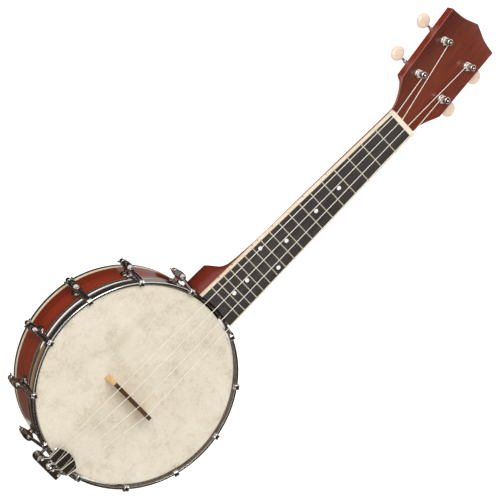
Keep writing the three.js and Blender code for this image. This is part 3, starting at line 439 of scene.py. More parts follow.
chrome = metal("chrome", (204, 200, 194), 0.07, 0.15)
castings = metal("castings", (172, 168, 162), 0.09, 0.18)
steel = metal("steel", (196, 193, 188), 0.22, 0.34, grain=(300, 20, 300))
flesh_profile = rounded(
    [
        (flesh_inner, flesh_low[2]),
        (flesh_radius, flesh_low[2]),
        (flesh_radius, flesh_low[2] + 0.0034),
        (flesh_radius - 0.0008, flesh_low[2] + 0.0062),
        (flesh_radius - 0.0026, flesh_high[2]),
        (flesh_inner, flesh_high[2]),
    ],
    mm(0.4, 0.5, 1.4, 1.4, 0.6, 0.4),
    steps=8,
)
hoop_ring = ring(hoop_inner, hoop_radius, hoop_low[2], hoop_high[2], mm(0.3, 0.6, 1.6, 0.25), steps=10)
piece("flesh_hoop_ring", [seated(turned(flesh_profile), pot_centre)], chrome, "steel", "flesh_hoop", sharp=60)
piece("tension_hoop_ring", [hoop_ring], chrome, "chrome", "tension_hoop", sharp=60)

# Hooks and shoes
# Each chromed hook has a ribbed claw over the tension hoop and a round rod down through a cast shoe.
# The shoe is an oval barrel on a domed foot, and a bolt holds it through the rim to a nut inside.
hook_count = 12
hook_steps = 120
rod_radius = 0.0015
claw_half_width = 0.0028
claw_half_depth = 0.0009
claw_gap = 0.0003
claw_rib = 0.0004
claw_foot_z = 0.0668
rod_start_z = 0.039
hook_end_z = 0.016
shoe_middle_z = 0.0340
shoe_half_height = 0.0095
foot_radius = 0.006
foot_rise = 0.0030
foot_stretch = 1.35
foot_neck_radius = 0.0026
bolt_z = 0.0313
bolt_radius = 0.0019
bolt_nut_radius = 0.004
bolt_nut_height = 0.003
bolt_washer_radius = 0.0047
bolt_washer_thickness = 0.0007
outwards = ((1, 0, 0), (0, 0, 1), (0, 1, 0))


def unit(vectors):
    """Vectors brought to length one."""
    return vectors / np.linalg.norm(vectors, axis=-1, keepdims=True)


def swept(path, sections, normals, sideways=(1, 0, 0)):
    """A closed skin: section points (u, v) along a path, u along sideways and v along each point's normal."""
    across = sections[:, :, 0, None] * np.array(sideways, float)
    return skin(path[:, None, :] + across + sections[:, :, 1, None] * normals[:, None, :], caps=True)


def evenly(points, count, closed=False):
    """The given polyline cut again into evenly spaced points."""
    points = np.array(points, float)
    if closed:
        points = np.concatenate([points, points[:1]])
    reach = np.concatenate([[0], np.cumsum(np.linalg.norm(np.diff(points, axis=0), axis=1))])
    places = np.linspace(0, reach[-1], count)
    return np.stack([np.interp(places, reach, axis) for axis in points.T], axis=1)


def bent(corners, radius, steps=6):
    """An open polyline with its inner corners rounded."""
    corners = np.array(corners, float)
    inner = rounded(corners, radius, steps)[steps + 1 : -(steps + 1)]
    return np.concatenate([corners[:1], inner, corners[-1:]])


def upright(route, x=0.0):
    """A route (y, z) as points (x, y, z), with the normals to the left of its heading."""
    heading = unit(np.gradient(route, axis=0))
    path = np.stack([0 * route[:, 0] + x, route[:, 0], route[:, 1]], axis=1)
    return path, np.stack([0 * route[:, 0], -heading[:, 1], heading[:, 0]], axis=1)


def inward(outline):
    """The unit direction to the left of a closed outline at each of its points."""
    along = np.roll(outline, -1, axis=0) - np.roll(outline, 1, axis=0)
    return unit(np.stack([-along[:, 1], along[:, 0]], axis=1))


def eased(edge, steps):
    """The insets and rises of a quarter round edge: edge (1 - sin a) and edge (1 - cos a)."""
    turn = np.linspace(0, np.pi / 2, steps + 1)
    return edge * (1 - np.sin(turn)), edge * (1 - np.cos(turn))


def prism(outline, low, high, edge=0.0002, steps=3):
    """A solid between two heights over a closed outline (x, y), with both its edges rounded."""
    outline = np.array(outline, float)
    area = np.sum(outline[:, 0] * np.roll(outline[:, 1], -1) - np.roll(outline[:, 0], -1) * outline[:, 1])
    inset, rise = eased(edge, steps)
    insets = np.concatenate([inset, inset[::-1]]) * np.sign(area)
    heights = np.concatenate([low + rise, high - rise[::-1]])
    flat = outline[None] + insets[:, None, None] * inward(outline)[None]
    level = np.broadcast_to(heights[:, None, None], (*flat.shape[:2], 1))
    return skin(np.concatenate([flat, level], axis=2), caps=True)


def polygon(sides, radius):
    """The corners of a regular polygon."""
    angle = np.arange(sides) * 2 * np.pi / sides
    return np.stack([radius * np.cos(angle), radius * np.sin(angle)], axis=1)


def disc(radius, low, high):
    """The profile of a flat disc on the axis, between two heights."""
    return [(0, low), (radius, low), (radius, high), (0, high)]


def hook_sweep(reach):
    """The hook's closed skin: x along the hoop, y out from the pot's axis, z up.

    Its section turns from a ribbed, nearly square claw into the round rod on the way down.
    """
    over = hoop_high[2] + claw_gap + claw_half_depth
    inner = hoop_inner - claw_gap - claw_half_depth
    outer = hoop_radius + claw_gap + claw_half_depth
    corners = [(inner, over - 0.0033), (inner, over), (outer, over), (outer, claw_foot_z)]
    corners += [(reach, rod_start_z), (reach, hook_end_z)]
    route = evenly(bent(corners, 0.0019, steps=8), hook_steps)
    path, normals = upright(route)
    turn = np.linspace(0, 2 * np.pi, 32, endpoint=False)[None]
    across, out = np.cos(turn), np.sin(turn)
    height = route[:, 1, None]
    widths = [rod_radius, 0.0019, 0.0025, claw_half_width]
    half_width = np.interp(height, [0.036, 0.041, 0.052, 0.060], widths)
    half_depth = np.interp(height, [0.038, 0.064], [rod_radius, claw_half_depth])
    flat_x = np.sign(across) * np.abs(across) ** 0.45
    flat_z = np.sign(out) * np.abs(out) ** 0.5
    rib = claw_rib * np.exp(-(((np.abs(flat_x) - 0.62) / 0.24) ** 2)) * (out > 0)
    share = np.interp(height, [0.041, 0.060], [1, 0])
    tip = np.clip(np.arange(hook_steps) / 3, 0, 1)[:, None] ** 0.5
    wide = tip * half_width * ((1 - share) * flat_x + share * across)
    deep = tip * (half_depth * ((1 - share) * flat_z + share * out) + (1 - share) * rib)
    return swept(path, np.stack([wide, deep], axis=-1), normals)


def shoe_parts(reach):
    """Barrel, domed foot, bolt, washer and nut: x along the hoop, y out from the pot's axis, z up."""
    barrel = rounded(
        [
            (rod_radius, -shoe_half_height),
            (0.0023, -shoe_half_height),
            (0.0041, -0.0060),
            (0.0044, 0),
            (0.0041, 0.0060),
            (0.0023, shoe_half_height),
            (rod_radius, shoe_half_height),
        ],
        mm(0.1, 0.8, 1.9, 2.4, 1.9, 0.8, 0.1),
    )
    face = rim_radius + 0.0001
    turn = np.linspace(0.12, 1.1, 9)
    dome = np.stack([foot_radius * np.cos(turn), face + 0.0008 + foot_rise * np.sin(turn)], axis=1)
    foot = [(0, face), (foot_radius - 0.0003, face), (foot_radius, face + 0.0005), *dome]
    foot_points, foot_faces = turned([*foot, (foot_neck_radius, reach), (0, reach)], 40, False)
    inside = rim_inner - 0.0003
    washer_end = inside - bolt_washer_thickness
    nut_end = washer_end - bolt_nut_height + 0.0008
    parts = [
        (foot_points * (1, foot_stretch, 1), foot_faces),
        turned(disc(bolt_washer_radius, washer_end, inside), 32, False),
        prism(polygon(6, bolt_nut_radius), nut_end, washer_end, 0.0004),
        turned(rounded(disc(bolt_radius, nut_end - 0.0008, inside), 0.0003), 20),
    ]
    shoe = seated(turned(barrel, 32), (0, reach, shoe_middle_z))
    return [shoe] + [seated(part, (0, 0, bolt_z), *outwards) for part in parts]


def radial(parts, angle):
    """Parts built with y out from the pot's axis, turned to an angle about it."""
    out = (np.cos(angle), np.sin(angle), 0)
    along = (np.sin(angle), -np.cos(angle), 0)
    return [seated(part, (*pot_centre[:2], 0), along, out) for part in parts]


hook_places = []
for number in range(1, hook_count + 1):
    low, high = extent(f"wing_nut_{number}")
    middle = (low + high)[:2] / 2 - pot_centre[:2]
    hook_places.append((number, np.arctan2(middle[1], middle[0]), np.linalg.norm(middle), low[2], high[2]))
for number, angle, reach, _, _ in hook_places:
    hook_parts = radial([hook_sweep(reach)], angle)
    piece(f"hook_{number}", hook_parts, chrome, "chrome", f"hook_and_shoe_{number}", sharp=45)
    piece(f"shoe_{number}", radial(shoe_parts(reach), angle), castings, "chrome", sharp=45)

# Wing nuts
# A small cast nut with two flared wings draws each hook down from under its shoe.
# The hub is turned, and each wing is a thin plate.
wing_half_thickness = 0.00065


def wing_nut_parts(low, high):
    """Hub and wings about the Z axis, the wings across X."""
    hub = rounded(
        [
            (rod_radius + 0.0002, low),
            (0.0025, low),
            (0.0030, low + 0.0030),
            (0.0034, high - 0.0014),
            (0.0036, high),
            (rod_radius + 0.0002, high),
        ],
        0.0005,
    )
    plate = rounded(
        [
            (0.0016, high - 0.0012),
            (0.0034, high - 0.0022),
            (0.0052, high - 0.0046),
            (0.0050, high - 0.0068),
            (0.0036, high - 0.0072),
            (0.0030, high - 0.0052),
            (0.0016, high - 0.0060),
        ],
        0.0011,
        steps=6,
    )
    wing = prism(plate, -wing_half_thickness, wing_half_thickness, 0.0005)
    wings = [seated(wing, (0, 0, 0), (side, 0, 0), (0, 0, 1), (0, -side, 0)) for side in (1, -1)]
    return [turned(hub, 28), *wings]


for number, angle, reach, low, high in hook_places:
    parts = radial([seated(part, (0, reach, 0)) for part in wing_nut_parts(low, high)], angle)
    nut_name = f"wing_nut_{number}"
    piece(f"wings_{number}", parts, chrome, "chrome", nut_name, body=nut_name, sharp=45)

# Coordinator rod and tail hanger
# A steel rod crosses the open pot from the heel to a sleeve at the tail, with a nut against the rim.
# A bent hanger bolt comes out of the sleeve through the rim, and carries the tailpiece under a domed nut.
rod_low, rod_high = extent("coordinator_rod")
rod_z = (rod_low[2] + rod_high[2]) / 2
cross_rod_radius = 0.003
sleeve_radius = (rod_high[2] - rod_low[2]) / 2
sleeve_end = rod_low[1] + 0.014
sleeve_bore = 0.0019
bore_end = rod_low[1] + 0.011
on_rod = (pot_centre[0], 0, rod_z)
along_neck = ((1, 0, 0), (0, 0, -1), (0, 1, 0))
rod_profile = rounded(
    [
        (0, bore_end),
        (sleeve_bore, bore_end),
        (sleeve_bore, rod_low[1]),
        (sleeve_radius, rod_low[1]),
        (sleeve_radius, sleeve_end),
        (cross_rod_radius, sleeve_end + 0.001),
        (cross_rod_radius, rod_high[1]),
        (0, rod_high[1]),
    ],
    mm(0.01, 0.1, 0.2, 0.8, 0.8, 0.4, 0.6, 0.01),
)
piece("pot_rod", [seated(turned(rod_profile, 40), on_rod, *along_neck)], steel, "steel", "coordinator_rod")
rod_nut_low, rod_nut_high = extent("rod_nut")
rod_nut_radius = 0.006
washer_radius = 0.0074
washer_start, washer_end = rod_nut_high[1] - 0.0011, rod_nut_high[1]
nut_hole = cross_rod_radius + 0.0002
washer_corners = [(nut_hole, washer_start), (washer_radius, washer_start)]
washer_corners += [(washer_radius, washer_end), (nut_hole, washer_end)]
rod_nut_parts = [
    prism(polygon(6, rod_nut_radius), rod_nut_low[1], washer_start, 0.0006),
    turned(rounded(washer_corners, 0.0003), 40),
]
rod_nut_parts = [seated(part, on_rod, *along_neck) for part in rod_nut_parts]
piece("rod_nut_and_washer", rod_nut_parts, steel, "steel", "rod_nut")

hanger_low, hanger_high = extent("tail_hanger_bolt")
dome_low, dome_high = extent("hanger_nut")
hanger_y = (dome_low[1] + dome_high[1]) / 2
on_hanger = (pot_centre[0], hanger_y, 0)
hanger_radius = 0.0016
hanger_steps = 80
collar_start = pot_centre[1] - rim_radius
lug_radius = (hanger_high[0] - hanger_low[0]) / 2
lug_top = hanger_low[2] + 0.0155
hanger_corners = [(hanger_high[1], rod_z), (hanger_y, rod_z), (hanger_y, hanger_high[2])]
hanger_route = evenly(bent(hanger_corners, 0.005, steps=10), hanger_steps)
hanger_path, hanger_normals = upright(hanger_route, pot_centre[0])
hanger_sections = np.broadcast_to(polygon(20, hanger_radius), (hanger_steps, 20, 2))
hanger_collar = rounded(
    [
        (0, collar_start - 0.0024),
        (0.0034, collar_start - 0.0024),
        (0.0046, collar_start - 0.0014),
        (0.0046, collar_start - 0.0002),
        (0, collar_start - 0.0002),
    ],
    0.0004,
)
lug_profile = rounded(disc(lug_radius, hanger_low[2], lug_top), mm(0.01, 2, 2, 0.01), steps=8)
hanger_parts = [
    swept(hanger_path, hanger_sections, hanger_normals),
    seated(turned(hanger_collar, 32), on_rod, *along_neck),
    seated(turned(lug_profile, 40), on_hanger),
]
piece("tail_hanger", hanger_parts, steel, "steel", "tail_hanger_bolt")
dome_radius = 0.95 * (dome_high[0] - dome_low[0]) / 2
dome_hexagon_radius = 0.0031
dome_washer_radius = 0.0034
dome_turn = np.linspace(0, np.pi / 2, 8)
dome_seat = dome_low[2] + 0.002
dome_curve = [dome_radius * np.cos(dome_turn), dome_seat + (dome_high[2] - dome_seat) * np.sin(dome_turn)]
dome_parts = [
    prism(polygon(6, dome_hexagon_radius), dome_low[2], dome_seat, 0.0003),
    turned(np.stack(dome_curve, axis=1), 32, False),
    turned(disc(dome_washer_radius, dome_low[2] - 0.0003, dome_low[2] + 0.0002), 32, False),
]
piece("domed_nut", [seated(part, on_hanger) for part in dome_parts], chrome, "chrome", "hanger_nut")

# Tailpiece
# One polished plate with a fan front over the head, a step down outside the hoop and a flange for the nut.
# Its side section is carried across the plate, which is widest at the front; the front edge is curved.
tail_low, tail_high = extent("tailpiece")
tail_end_y, tail_top = tail_low[1], tail_high[2]
tail_thickness = 0.0012
tail_front_y = pot_centre[1] - 0.0927
tail_crease_y = pot_centre[1] - 0.1099
tail_flange_y = pot_centre[1] - 0.1132
tail_flange_z = 0.0625
tail_lip_drop = 0.004
tail_front_half = 0.0164
tail_crease_half = 0.0152
tail_end_half = 0.0153
tail_front_curve = 0.0056
tail_corners = [(tail_front_y, tail_top - 0.0004), (tail_front_y - 0.002, tail_top)]
tail_corners += [(tail_crease_y, tail_top), (tail_flange_y, tail_flange_z)]
tail_corners += [(tail_end_y, tail_flange_z), (tail_end_y, tail_flange_z - tail_lip_drop)]
tail_route = evenly(bent(tail_corners, 0.0016), 120)
tail_inwards = upright(tail_route)[1][:, 1:]
tail_forward = np.clip((tail_route[:, 0] - tail_crease_y) / (tail_front_y - tail_crease_y), 0, 1)
tail_backward = np.clip((tail_crease_y - tail_route[:, 0]) / (tail_crease_y - tail_flange_y), 0, 1)
tail_half = tail_crease_half + tail_forward * (tail_front_half - tail_crease_half)
tail_half = tail_half + tail_backward * (tail_end_half - tail_crease_half)
plate_section = rounded([(-1, 0), (1, 0), (1, 1), (-1, 1)], 0.3, steps=4)
plate_share, plate_depth = evenly(plate_section, 97, closed=True)[:-1].T
tail_x = pot_centre[0] + plate_share * tail_half[:, None]
tail_yz = tail_route[:, None, :] + plate_depth[None, :, None] * tail_thickness * tail_inwards[:, None, :]
tail_yz[:, :, 0] -= tail_forward[:, None] * tail_front_curve * plate_share**2
tail_grid = np.concatenate([tail_x[:, :, None], tail_yz], axis=2)
piece("tail_plate", [skin(tail_grid, caps=True)], chrome, "chrome", "tailpiece", sharp=50)

# Bridge
# A maple bridge with two arches stands on the head under a dark hardwood cap with four string notches.
# The side view is an outline, thinned towards the top.
bridge_low, bridge_high = extent("bridge_body")
cap_low, cap_high = extent("bridge_cap")
bridge_y = (bridge_low[1] + bridge_high[1]) / 2
bridge_half, bridge_depth = (bridge_high - bridge_low)[:2] / 2
cap_half, cap_depth = (cap_high - cap_low)[:2] / 2
bridge_height = bridge_high[2] - bridge_low[2]
bridge_foot = 0.009
bridge_middle_foot = 0.0035
arch_height = 0.0075
string_places = np.array([-0.02185, -0.00795, 0.00795, 0.02185])
string_radius = 0.0004
bridge_string_z = 0.0874
notch_half = 0.00055
from_tail = ((1, 0, 0), (0, 0, 1), (0, -1, 0))


def notched(half, places, base, top, floor):
    """A block's end view with a round-bottomed notch for each string: x across, y up."""
    turn = np.linspace(2 * np.pi, np.pi, 7)
    notch = np.stack([notch_half * np.cos(turn), (top - floor) * np.sin(turn)], axis=1)
    notches = [notch + (place, top) for place in places[::-1]]
    return np.concatenate([[(half, base), (half, top)], *notches, [(-half, top), (-half, base)]])


bridge_maple = wooden(
    "bridge_maple", (236, 198, 148), (206, 160, 110), (150, 105, 66), fineness=2.2, pores=0.4, Coat_Weight=0.1
)
cap_wood = wooden("cap_wood", (92, 68, 52), (58, 42, 32), (34, 24, 18), fineness=2, Coat_Weight=0.1)
arch_turn = np.linspace(np.pi, 0, 24)
arch_outer = bridge_half - bridge_foot
arch_middle, arch_half = (arch_outer + bridge_middle_foot) / 2, (arch_outer - bridge_middle_foot) / 2
arch = np.stack([arch_half * np.cos(arch_turn), arch_height * np.sin(arch_turn) ** 0.8], axis=1)
bridge_side = np.concatenate(
    [
        [(-bridge_half, 0)],
        arch - (arch_middle, 0),
        arch + (arch_middle, 0),
        [(bridge_half, 0), (bridge_half - 0.0012, 0.006), (cap_half, bridge_height)],
        [(-cap_half, bridge_height), (-bridge_half + 0.0012, 0.006)],
    ]
)
bridge_points, bridge_faces = prism(bridge_side, -bridge_depth, bridge_depth, 0.0003)
thinned = 1 - bridge_points[:, 1] / bridge_height * (1 - cap_depth / bridge_depth)
bridge_points = np.column_stack([bridge_points[:, :2], bridge_points[:, 2] * thinned])
bridge_at = (pot_centre[0], bridge_y, bridge_low[2] - 0.0003)
bridge_part = seated((bridge_points, bridge_faces), bridge_at, *from_tail)
piece("bridge_legs", [bridge_part], bridge_maple, "bridge_maple", "bridge_body")
cap_view = notched(cap_half, string_places, cap_low[2] - 0.0003, cap_high[2], bridge_string_z - string_radius)
cap_part = seated(prism(cap_view, -cap_depth, cap_depth), (pot_centre[0], bridge_y, 0), *from_tail)
piece("bridge_top_strip", [cap_part], cap_wood, "bridge_cap", "bridge_cap")

# Fingerboard
# A dark board with a curved end at the hoop, nickel frets across it and pearl dots let into it.
# Frets stand where the string length shrinks by a semitone each.
board_low, board_high = extent("fingerboard")
nut_low, nut_high = extent("nut")
binding_low, binding_high = extent("board_binding_bass")
board_top = binding_high[2]
board_end_radius = 0.1094
board_end_y = pot_centre[1] + board_end_radius
nut_y, nut_end = nut_low[1], nut_high[1]
scale_length = nut_y - bridge_y
half_at_nut = (nut_high[0] - nut_low[0]) / 2
half_at_pot = pot_centre[0] - binding_low[0]
binding_width = 0.0019
fret_count = 18
fret_half_width = 0.0006
fret_height = board_high[2] - board_top
dotted_frets = (5, 7, 10, 15, 17)
dot_radius = 0.0022
twin_dot_reach = 0.015


def along_the_neck(tree, place):
    """Grain along the neck: the vector's x is Object y."""
    x, y, z = node(tree, "SeparateXYZ", {"Vector": place}).outputs
    return joined(tree, y, x, z)


def half_width(y):
    """Half of the board's width at a place along the neck: a straight taper."""
    return half_at_nut + (half_at_pot - half_at_nut) * (nut_y - y) / (nut_y - board_end_y)


def fret_middle(number):
    """The place along the neck half way between a fret and the one before it."""
    return bridge_y + scale_length * (2 ** (-number / 12) + 2 ** (-(number - 1) / 12)) / 2


board_shades = ((72, 68, 66), (50, 45, 43), (30, 26, 24))
dark_board = wooden("dark_board", *board_shades, along_the_neck, fineness=1.8, pores=0.7, bump=0.25)
fret_metal = metal("fret_metal", (216, 209, 188), 0.3, 0.42, grain=(20, 400, 400), plating=0.35)
pearl = dusted("pearl", (250, 249, 246), (232, 230, 226), scale=700, Roughness=0.25)
board_end_x = np.linspace(-half_at_pot + binding_width, half_at_pot - binding_width, 25)
board_end = np.stack([board_end_x, pot_centre[1] + np.sqrt(board_end_radius**2 - board_end_x**2)], axis=1)
board_half_at_nut = half_at_nut - binding_width
board_outline = np.concatenate([board_end, [(board_half_at_nut, nut_y), (-board_half_at_nut, nut_y)]])
board_part = seated(prism(board_outline, board_low[2], board_top), (pot_centre[0], 0, 0))
piece("board", [board_part], dark_board, "fingerboard", "fingerboard")
crown_turn = np.linspace(0, np.pi, 9)
crown = np.stack([fret_half_width * np.cos(crown_turn), fret_height * np.sin(crown_turn) ** 0.8], axis=1)
fret_section = np.concatenate([crown, [(-fret_half_width, -0.0004), (fret_half_width, -0.0004)]])
fret_parts = []
for y in bridge_y + scale_length * 2 ** (-np.arange(1, fret_count + 1) / 12):
    fret_half = half_width(y) - 0.0003
    fret = prism(fret_section, -fret_half, fret_half, 0.0004, steps=2)
    fret_parts.append(seated(fret, (pot_centre[0], y, board_top), (0, 1, 0), (0, 0, 1), (1, 0, 0)))
piece("frets", fret_parts, fret_metal, "fingerboard")
dot_spots = [(0, fret_middle(number)) for number in dotted_frets]
dot_spots += [(side * twin_dot_reach, fret_middle(12)) for side in (-1, 1)]
dot_profile = [(0, -0.0003), (dot_radius, -0.0003), (dot_radius, 0.00005), (dot_radius - 0.0002, 0.0001)]
dot = turned([*dot_profile, (0, 0.0001)], 28, False)
dot_parts = [seated(dot, (pot_centre[0] + x, y, board_top)) for x, y in dot_spots]
piece("inlay_dots", dot_parts, pearl, "fingerboard")

# Board bindings
# A cream plastic strip is glued along each edge of the board; the bass one carries small black side dots.
# Each strip follows the board's taper.
side_dot_radius = 0.0008
side_dot_drop = 0.0025
twin_side_dot_reach = 0.0035
for side, label in ((-1, "bass"), (1, "treble")):
    outer = side * np.array([half_at_pot, half_at_nut])
    inner = outer - side * (binding_width - 0.0001)
    pot_y = pot_centre[1] + np.sqrt(board_end_radius**2 - np.array([inner[0], outer[0]]) ** 2)
    strip = [(inner[0], pot_y[0]), (outer[0], pot_y[1]), (outer[1], nut_y), (inner[1], nut_y)]
    strip_part = seated(prism(strip, board_low[2], board_top, 0.00035), (pot_centre[0], 0, 0))
    piece(f"binding_strip_{label}", [strip_part], cream_binding, "cream_binding", f"board_binding_{label}")
side_spots = [fret_middle(number) for number in dotted_frets]
side_spots += [fret_middle(12) + side * twin_side_dot_reach for side in (-1, 1)]
side_dot = turned(disc(side_dot_radius, -0.0003, 0.00008), 20, False)
side_dot_parts = []
for y in side_spots:
    spot = (pot_centre[0] - half_width(y), y, board_top - side_dot_drop)
    side_dot_parts.append(seated(side_dot, spot, (0, 1, 0), (0, 0, 1), (-1, 0, 0)))
piece("side_dots", side_dot_parts, black_ply, "black_ply")

# Nut
# A bone-coloured nut with a notch for each string stands at the end of the board.
# Its end view is carried across the string direction, with rounded edges.
nut_strings = np.array([-0.01415, -0.0048, 0.0048, 0.01415])
nut_string_z = board_top + 0.0019
nut_half_length = (nut_end - nut_y) / 2
bone = dusted("bone", (243, 229, 208), (232, 212, 188), scale=160, Roughness=0.35)
nut_view = notched(half_at_nut, nut_strings, nut_low[2], nut_high[2], nut_string_z - string_radius)
nut_block = prism(nut_view, -nut_half_length, nut_half_length, 0.0004)
nut_part = seated(nut_block, (pot_centre[0], (nut_y + nut_end) / 2, 0), *from_tail)
piece("bone_nut", [nut_part], bone, "nut", "nut")

# Neck
# The shaft is carved round behind, swells into a tapered heel at the pot, and is lacquered like the rim.
# Rows of half-round sections run from the rim to the nut; their depth and width follow smooth curves.
neck_top = board_low[2] - 0.0001
neck_start = rim_radius + 0.0002
heel_pocket_z = 0.0492
station_places = np.array([0.0, 0.030, 0.0335, 0.040, 0.046, 0.053, 0.064, 0.150])
station_depths = np.array([0.0585, 0.0585, 0.0500, 0.0315, 0.0228, 0.0182, 0.0137, 0.0128])
station_heels = np.array([1, 1, 1, 0.85, 0.6, 0.35, 0, 0])
depth_shares = np.array([0, 0.25, 0.5, 0.72, 0.88, 0.97, 1])
shaft_shares = np.array([1, 0.965, 0.87, 0.72, 0.5, 0.27, 0])
heel_shares = np.array([1, 0.93, 0.82, 0.69, 0.57, 0.47, 0.36])


def smooth_curve(place, knots, values):
    """A smooth line through (knots, values): cubic pieces whose slopes are the mean of their neighbours'."""
    slopes = np.gradient(values, knots)
    k = np.clip(np.searchsorted(knots, place) - 1, 0, len(knots) - 2)
    span = knots[k + 1] - knots[k]
    t = np.clip((place - knots[k]) / span, 0, 1)
    start = (2 * t**3 - 3 * t**2 + 1) * values[k] + (t**3 - 2 * t**2 + t) * span * slopes[k]
    return start + (3 * t**2 - 2 * t**3) * values[k + 1] + (t**3 - t**2) * span * slopes[k + 1]


neck_shades = ((152, 50, 20), (112, 35, 16), (58, 20, 12))
neck_lacquer = wooden("neck_lacquer", *neck_shades, along_the_neck, pores=0.4, bump=0.08, **lacquered)
neck_length = nut_end - pot_centre[1] - neck_start
neck_rows = np.concatenate([np.linspace(0, 0.07, 60), np.linspace(0.074, neck_length, 60)])
heel_depth = np.interp(neck_rows, station_places, station_depths)
shaft_depth = smooth_curve(np.minimum(neck_rows, 0.15), station_places, station_depths)
neck_depth = np.where(neck_rows > 0.030, shaft_depth, heel_depth)
neck_depth = neck_depth - np.clip((neck_rows - 0.15) / (neck_length - 0.15), 0, 1) * 0.0009
heel_share = np.interp(neck_rows, station_places, station_heels)
share_places = np.linspace(0, 1, 7)
side_turn = np.linspace(0, 1, 26)
shaft_width, heel_width, down_share = (
    smooth_curve(side_turn, share_places, shares) for shares in (shaft_shares, heel_shares, depth_shares)
)
neck_half = half_width(np.clip(pot_centre[1] + neck_start + neck_rows, board_end_y, nut_y))
width_share = shaft_width[None] + heel_share[:, None] * (heel_width - shaft_width)[None]
side_x = neck_half[:, None] * width_share
side_z = neck_top - neck_depth[:, None] * down_share[None]
seat_x = side_x[:, :1] * np.linspace(-1, 1, 22)[None, 1:-1]
neck_x = np.concatenate([side_x, -side_x[:, ::-1], seat_x], axis=1)
neck_z = np.concatenate([side_z, side_z[:, ::-1], 0 * seat_x + neck_top], axis=1)
# The end face is the first row drawn in step by step to the middle of its top edge
end_share = np.linspace(0, 1, 30)[:-1, None]
neck_x = np.concatenate([end_share * neck_x[:1], neck_x])
neck_z = np.concatenate([neck_top + end_share * (neck_z[:1] - neck_top), neck_z])
neck_rows = np.concatenate([0 * end_share[:, 0], neck_rows])
start_radius = np.where(neck_z > heel_pocket_z, board_end_radius, neck_start)
start_y = np.sqrt(start_radius**2 - neck_x**2)
near_pot = np.clip(1 - neck_rows / 0.03, 0, 1)[:, None]
neck_y = pot_centre[1] + neck_start + neck_rows[:, None] + near_pot * (start_y - neck_start)
neck_grid = np.stack([pot_centre[0] + neck_x, neck_y, neck_z], axis=-1)
shaft = piece("neck_shaft", [skin(neck_grid, caps=True)], neck_lacquer, "neck", "neck", sharp=50)


def second_finish(made, material, chosen, least):
    """The other material on the faces whose normal has more than the least share along a direction."""
    made.data.materials.append(material)
    facing = vectors_of(made.data.polygons, "normal") @ np.array(chosen, float) > least
    made.data.polygons.foreach_set("material_index", facing.astype(np.int32))


# The end under the board, which faces the hoop, is dark like the board: painted shade for the gap between the
# neck and the hoop
second_finish(shaft, dark_board, (0, -1, 0), 0.6)

# Headstock
# The headstock is one piece with the neck, tilted back, with a curved throat, corners and a hollowed top.
# It is built in its own plane, x across, y along and z out of its face, and then tilted.
joints = {joint["name"]: joint for joint in frame["joints"]}
face_normal = np.array(joints["tuner_post_bass_near_turn"]["axis"], float)
face_along = np.array([0, face_normal[2], -face_normal[1]])
on_plate = ((1, 0, 0), face_along, face_normal)
plate_thickness = 0.011
plate_length = 0.126
plate_edge = 0.0007
shoulder_half, shoulder_along = 0.0341, 0.1174
corner_half, corner_along = 0.0313, 0.0315
throat_shares = np.array([0, 0.07, 0.22, 0.43, 0.7, 1])
throat_places = np.array([0, 0.19, 0.38, 0.57, 0.77, 1])
underside_shares = np.array([0.3, 0.36, 0.44, 0.54, 0.7, 1])
top_hollows = np.array([0, 0.5, 1, 0.6, 0])
top_places = np.array([0, 0.22, 0.5, 0.77, 1])
top_hollow = 0.002
veneer_shades = ((126, 54, 32), (98, 42, 31), (56, 24, 20))
veneer = wooden("veneer", *veneer_shades, along_the_neck, fineness=0.8, pores=0.3, bump=0.06, **lacquered)
# Painted shade: the veneer's colour darkens towards the bass side
veneer_tree = veneer.node_tree
veneer_base = veneer_tree.nodes["Principled BSDF"].inputs["Base Color"]
veneer_place = node(veneer_tree, "SeparateXYZ", {"Vector": node(veneer_tree, "TexCoord").outputs["Object"]})
painted_shade_share = spread(veneer_tree, veneer_place.outputs["X"], -0.032, -0.002, 0.5, 1.0)
painted_shade_inputs = {0: veneer_base.links[0].from_socket, "Scale": painted_shade_share}
veneer_tree.links.new(node(veneer_tree, "VectorMath", painted_shade_inputs, operation="SCALE").outputs[0], veneer_base)
throat_t = np.linspace(0, 1, 28)
throat_x = half_at_nut + smooth_curve(throat_t, throat_places, throat_shares) * (corner_half - half_at_nut)
side_t = np.linspace(0, 1, 14)[1:]
side_line_x = corner_half + side_t * (shoulder_half - corner_half)
side_line_y = corner_along + side_t * (shoulder_along - corner_along)
top_t = np.linspace(1, 0, 26)[1:]
top_y = shoulder_along + (1 - top_t) * (plate_length - shoulder_along)
top_y = top_y - top_hollow * smooth_curve(top_t, top_places, top_hollows)
half_x = np.concatenate([throat_x, side_line_x, top_t * shoulder_half])
half_y = np.concatenate([throat_t * corner_along, side_line_y, top_y])
throat_under = smooth_curve(throat_t, throat_places, underside_shares)
under = np.concatenate([throat_under, np.ones(len(half_x) - len(throat_under))])


def plate_row(height, inset=0.0):
    """A closed loop of the plate, drawn in by inset: the underside is narrower through the throat."""
    x = half_x * (1 - (1 - under) * (-height / plate_thickness) ** 2.2)
    loop = np.stack([np.concatenate([x, -x[-2::-1]]), np.concatenate([half_y, half_y[-2::-1]])], axis=1)
    return np.column_stack([loop + inset * inward(loop), np.full(len(loop), height)])


edge_insets, edge_rises = eased(plate_edge, 3)
plate_rows = [plate_row(-plate_thickness + rise, inset) for rise, inset in zip(edge_rises, edge_insets)]
plate_rows += [plate_row(height) for height in np.linspace(-plate_thickness + 0.0015, -0.0015, 8)]
plate_rows += [plate_row(-rise, inset) for rise, inset in zip(edge_rises[::-1], edge_insets[::-1])]
plate_part = seated(skin(np.array(plate_rows), caps=True), (pot_centre[0], nut_end, neck_top), *on_plate)
headstock = piece("headstock", [plate_part], neck_lacquer, "neck")
second_finish(headstock, veneer, face_normal, 0.9)

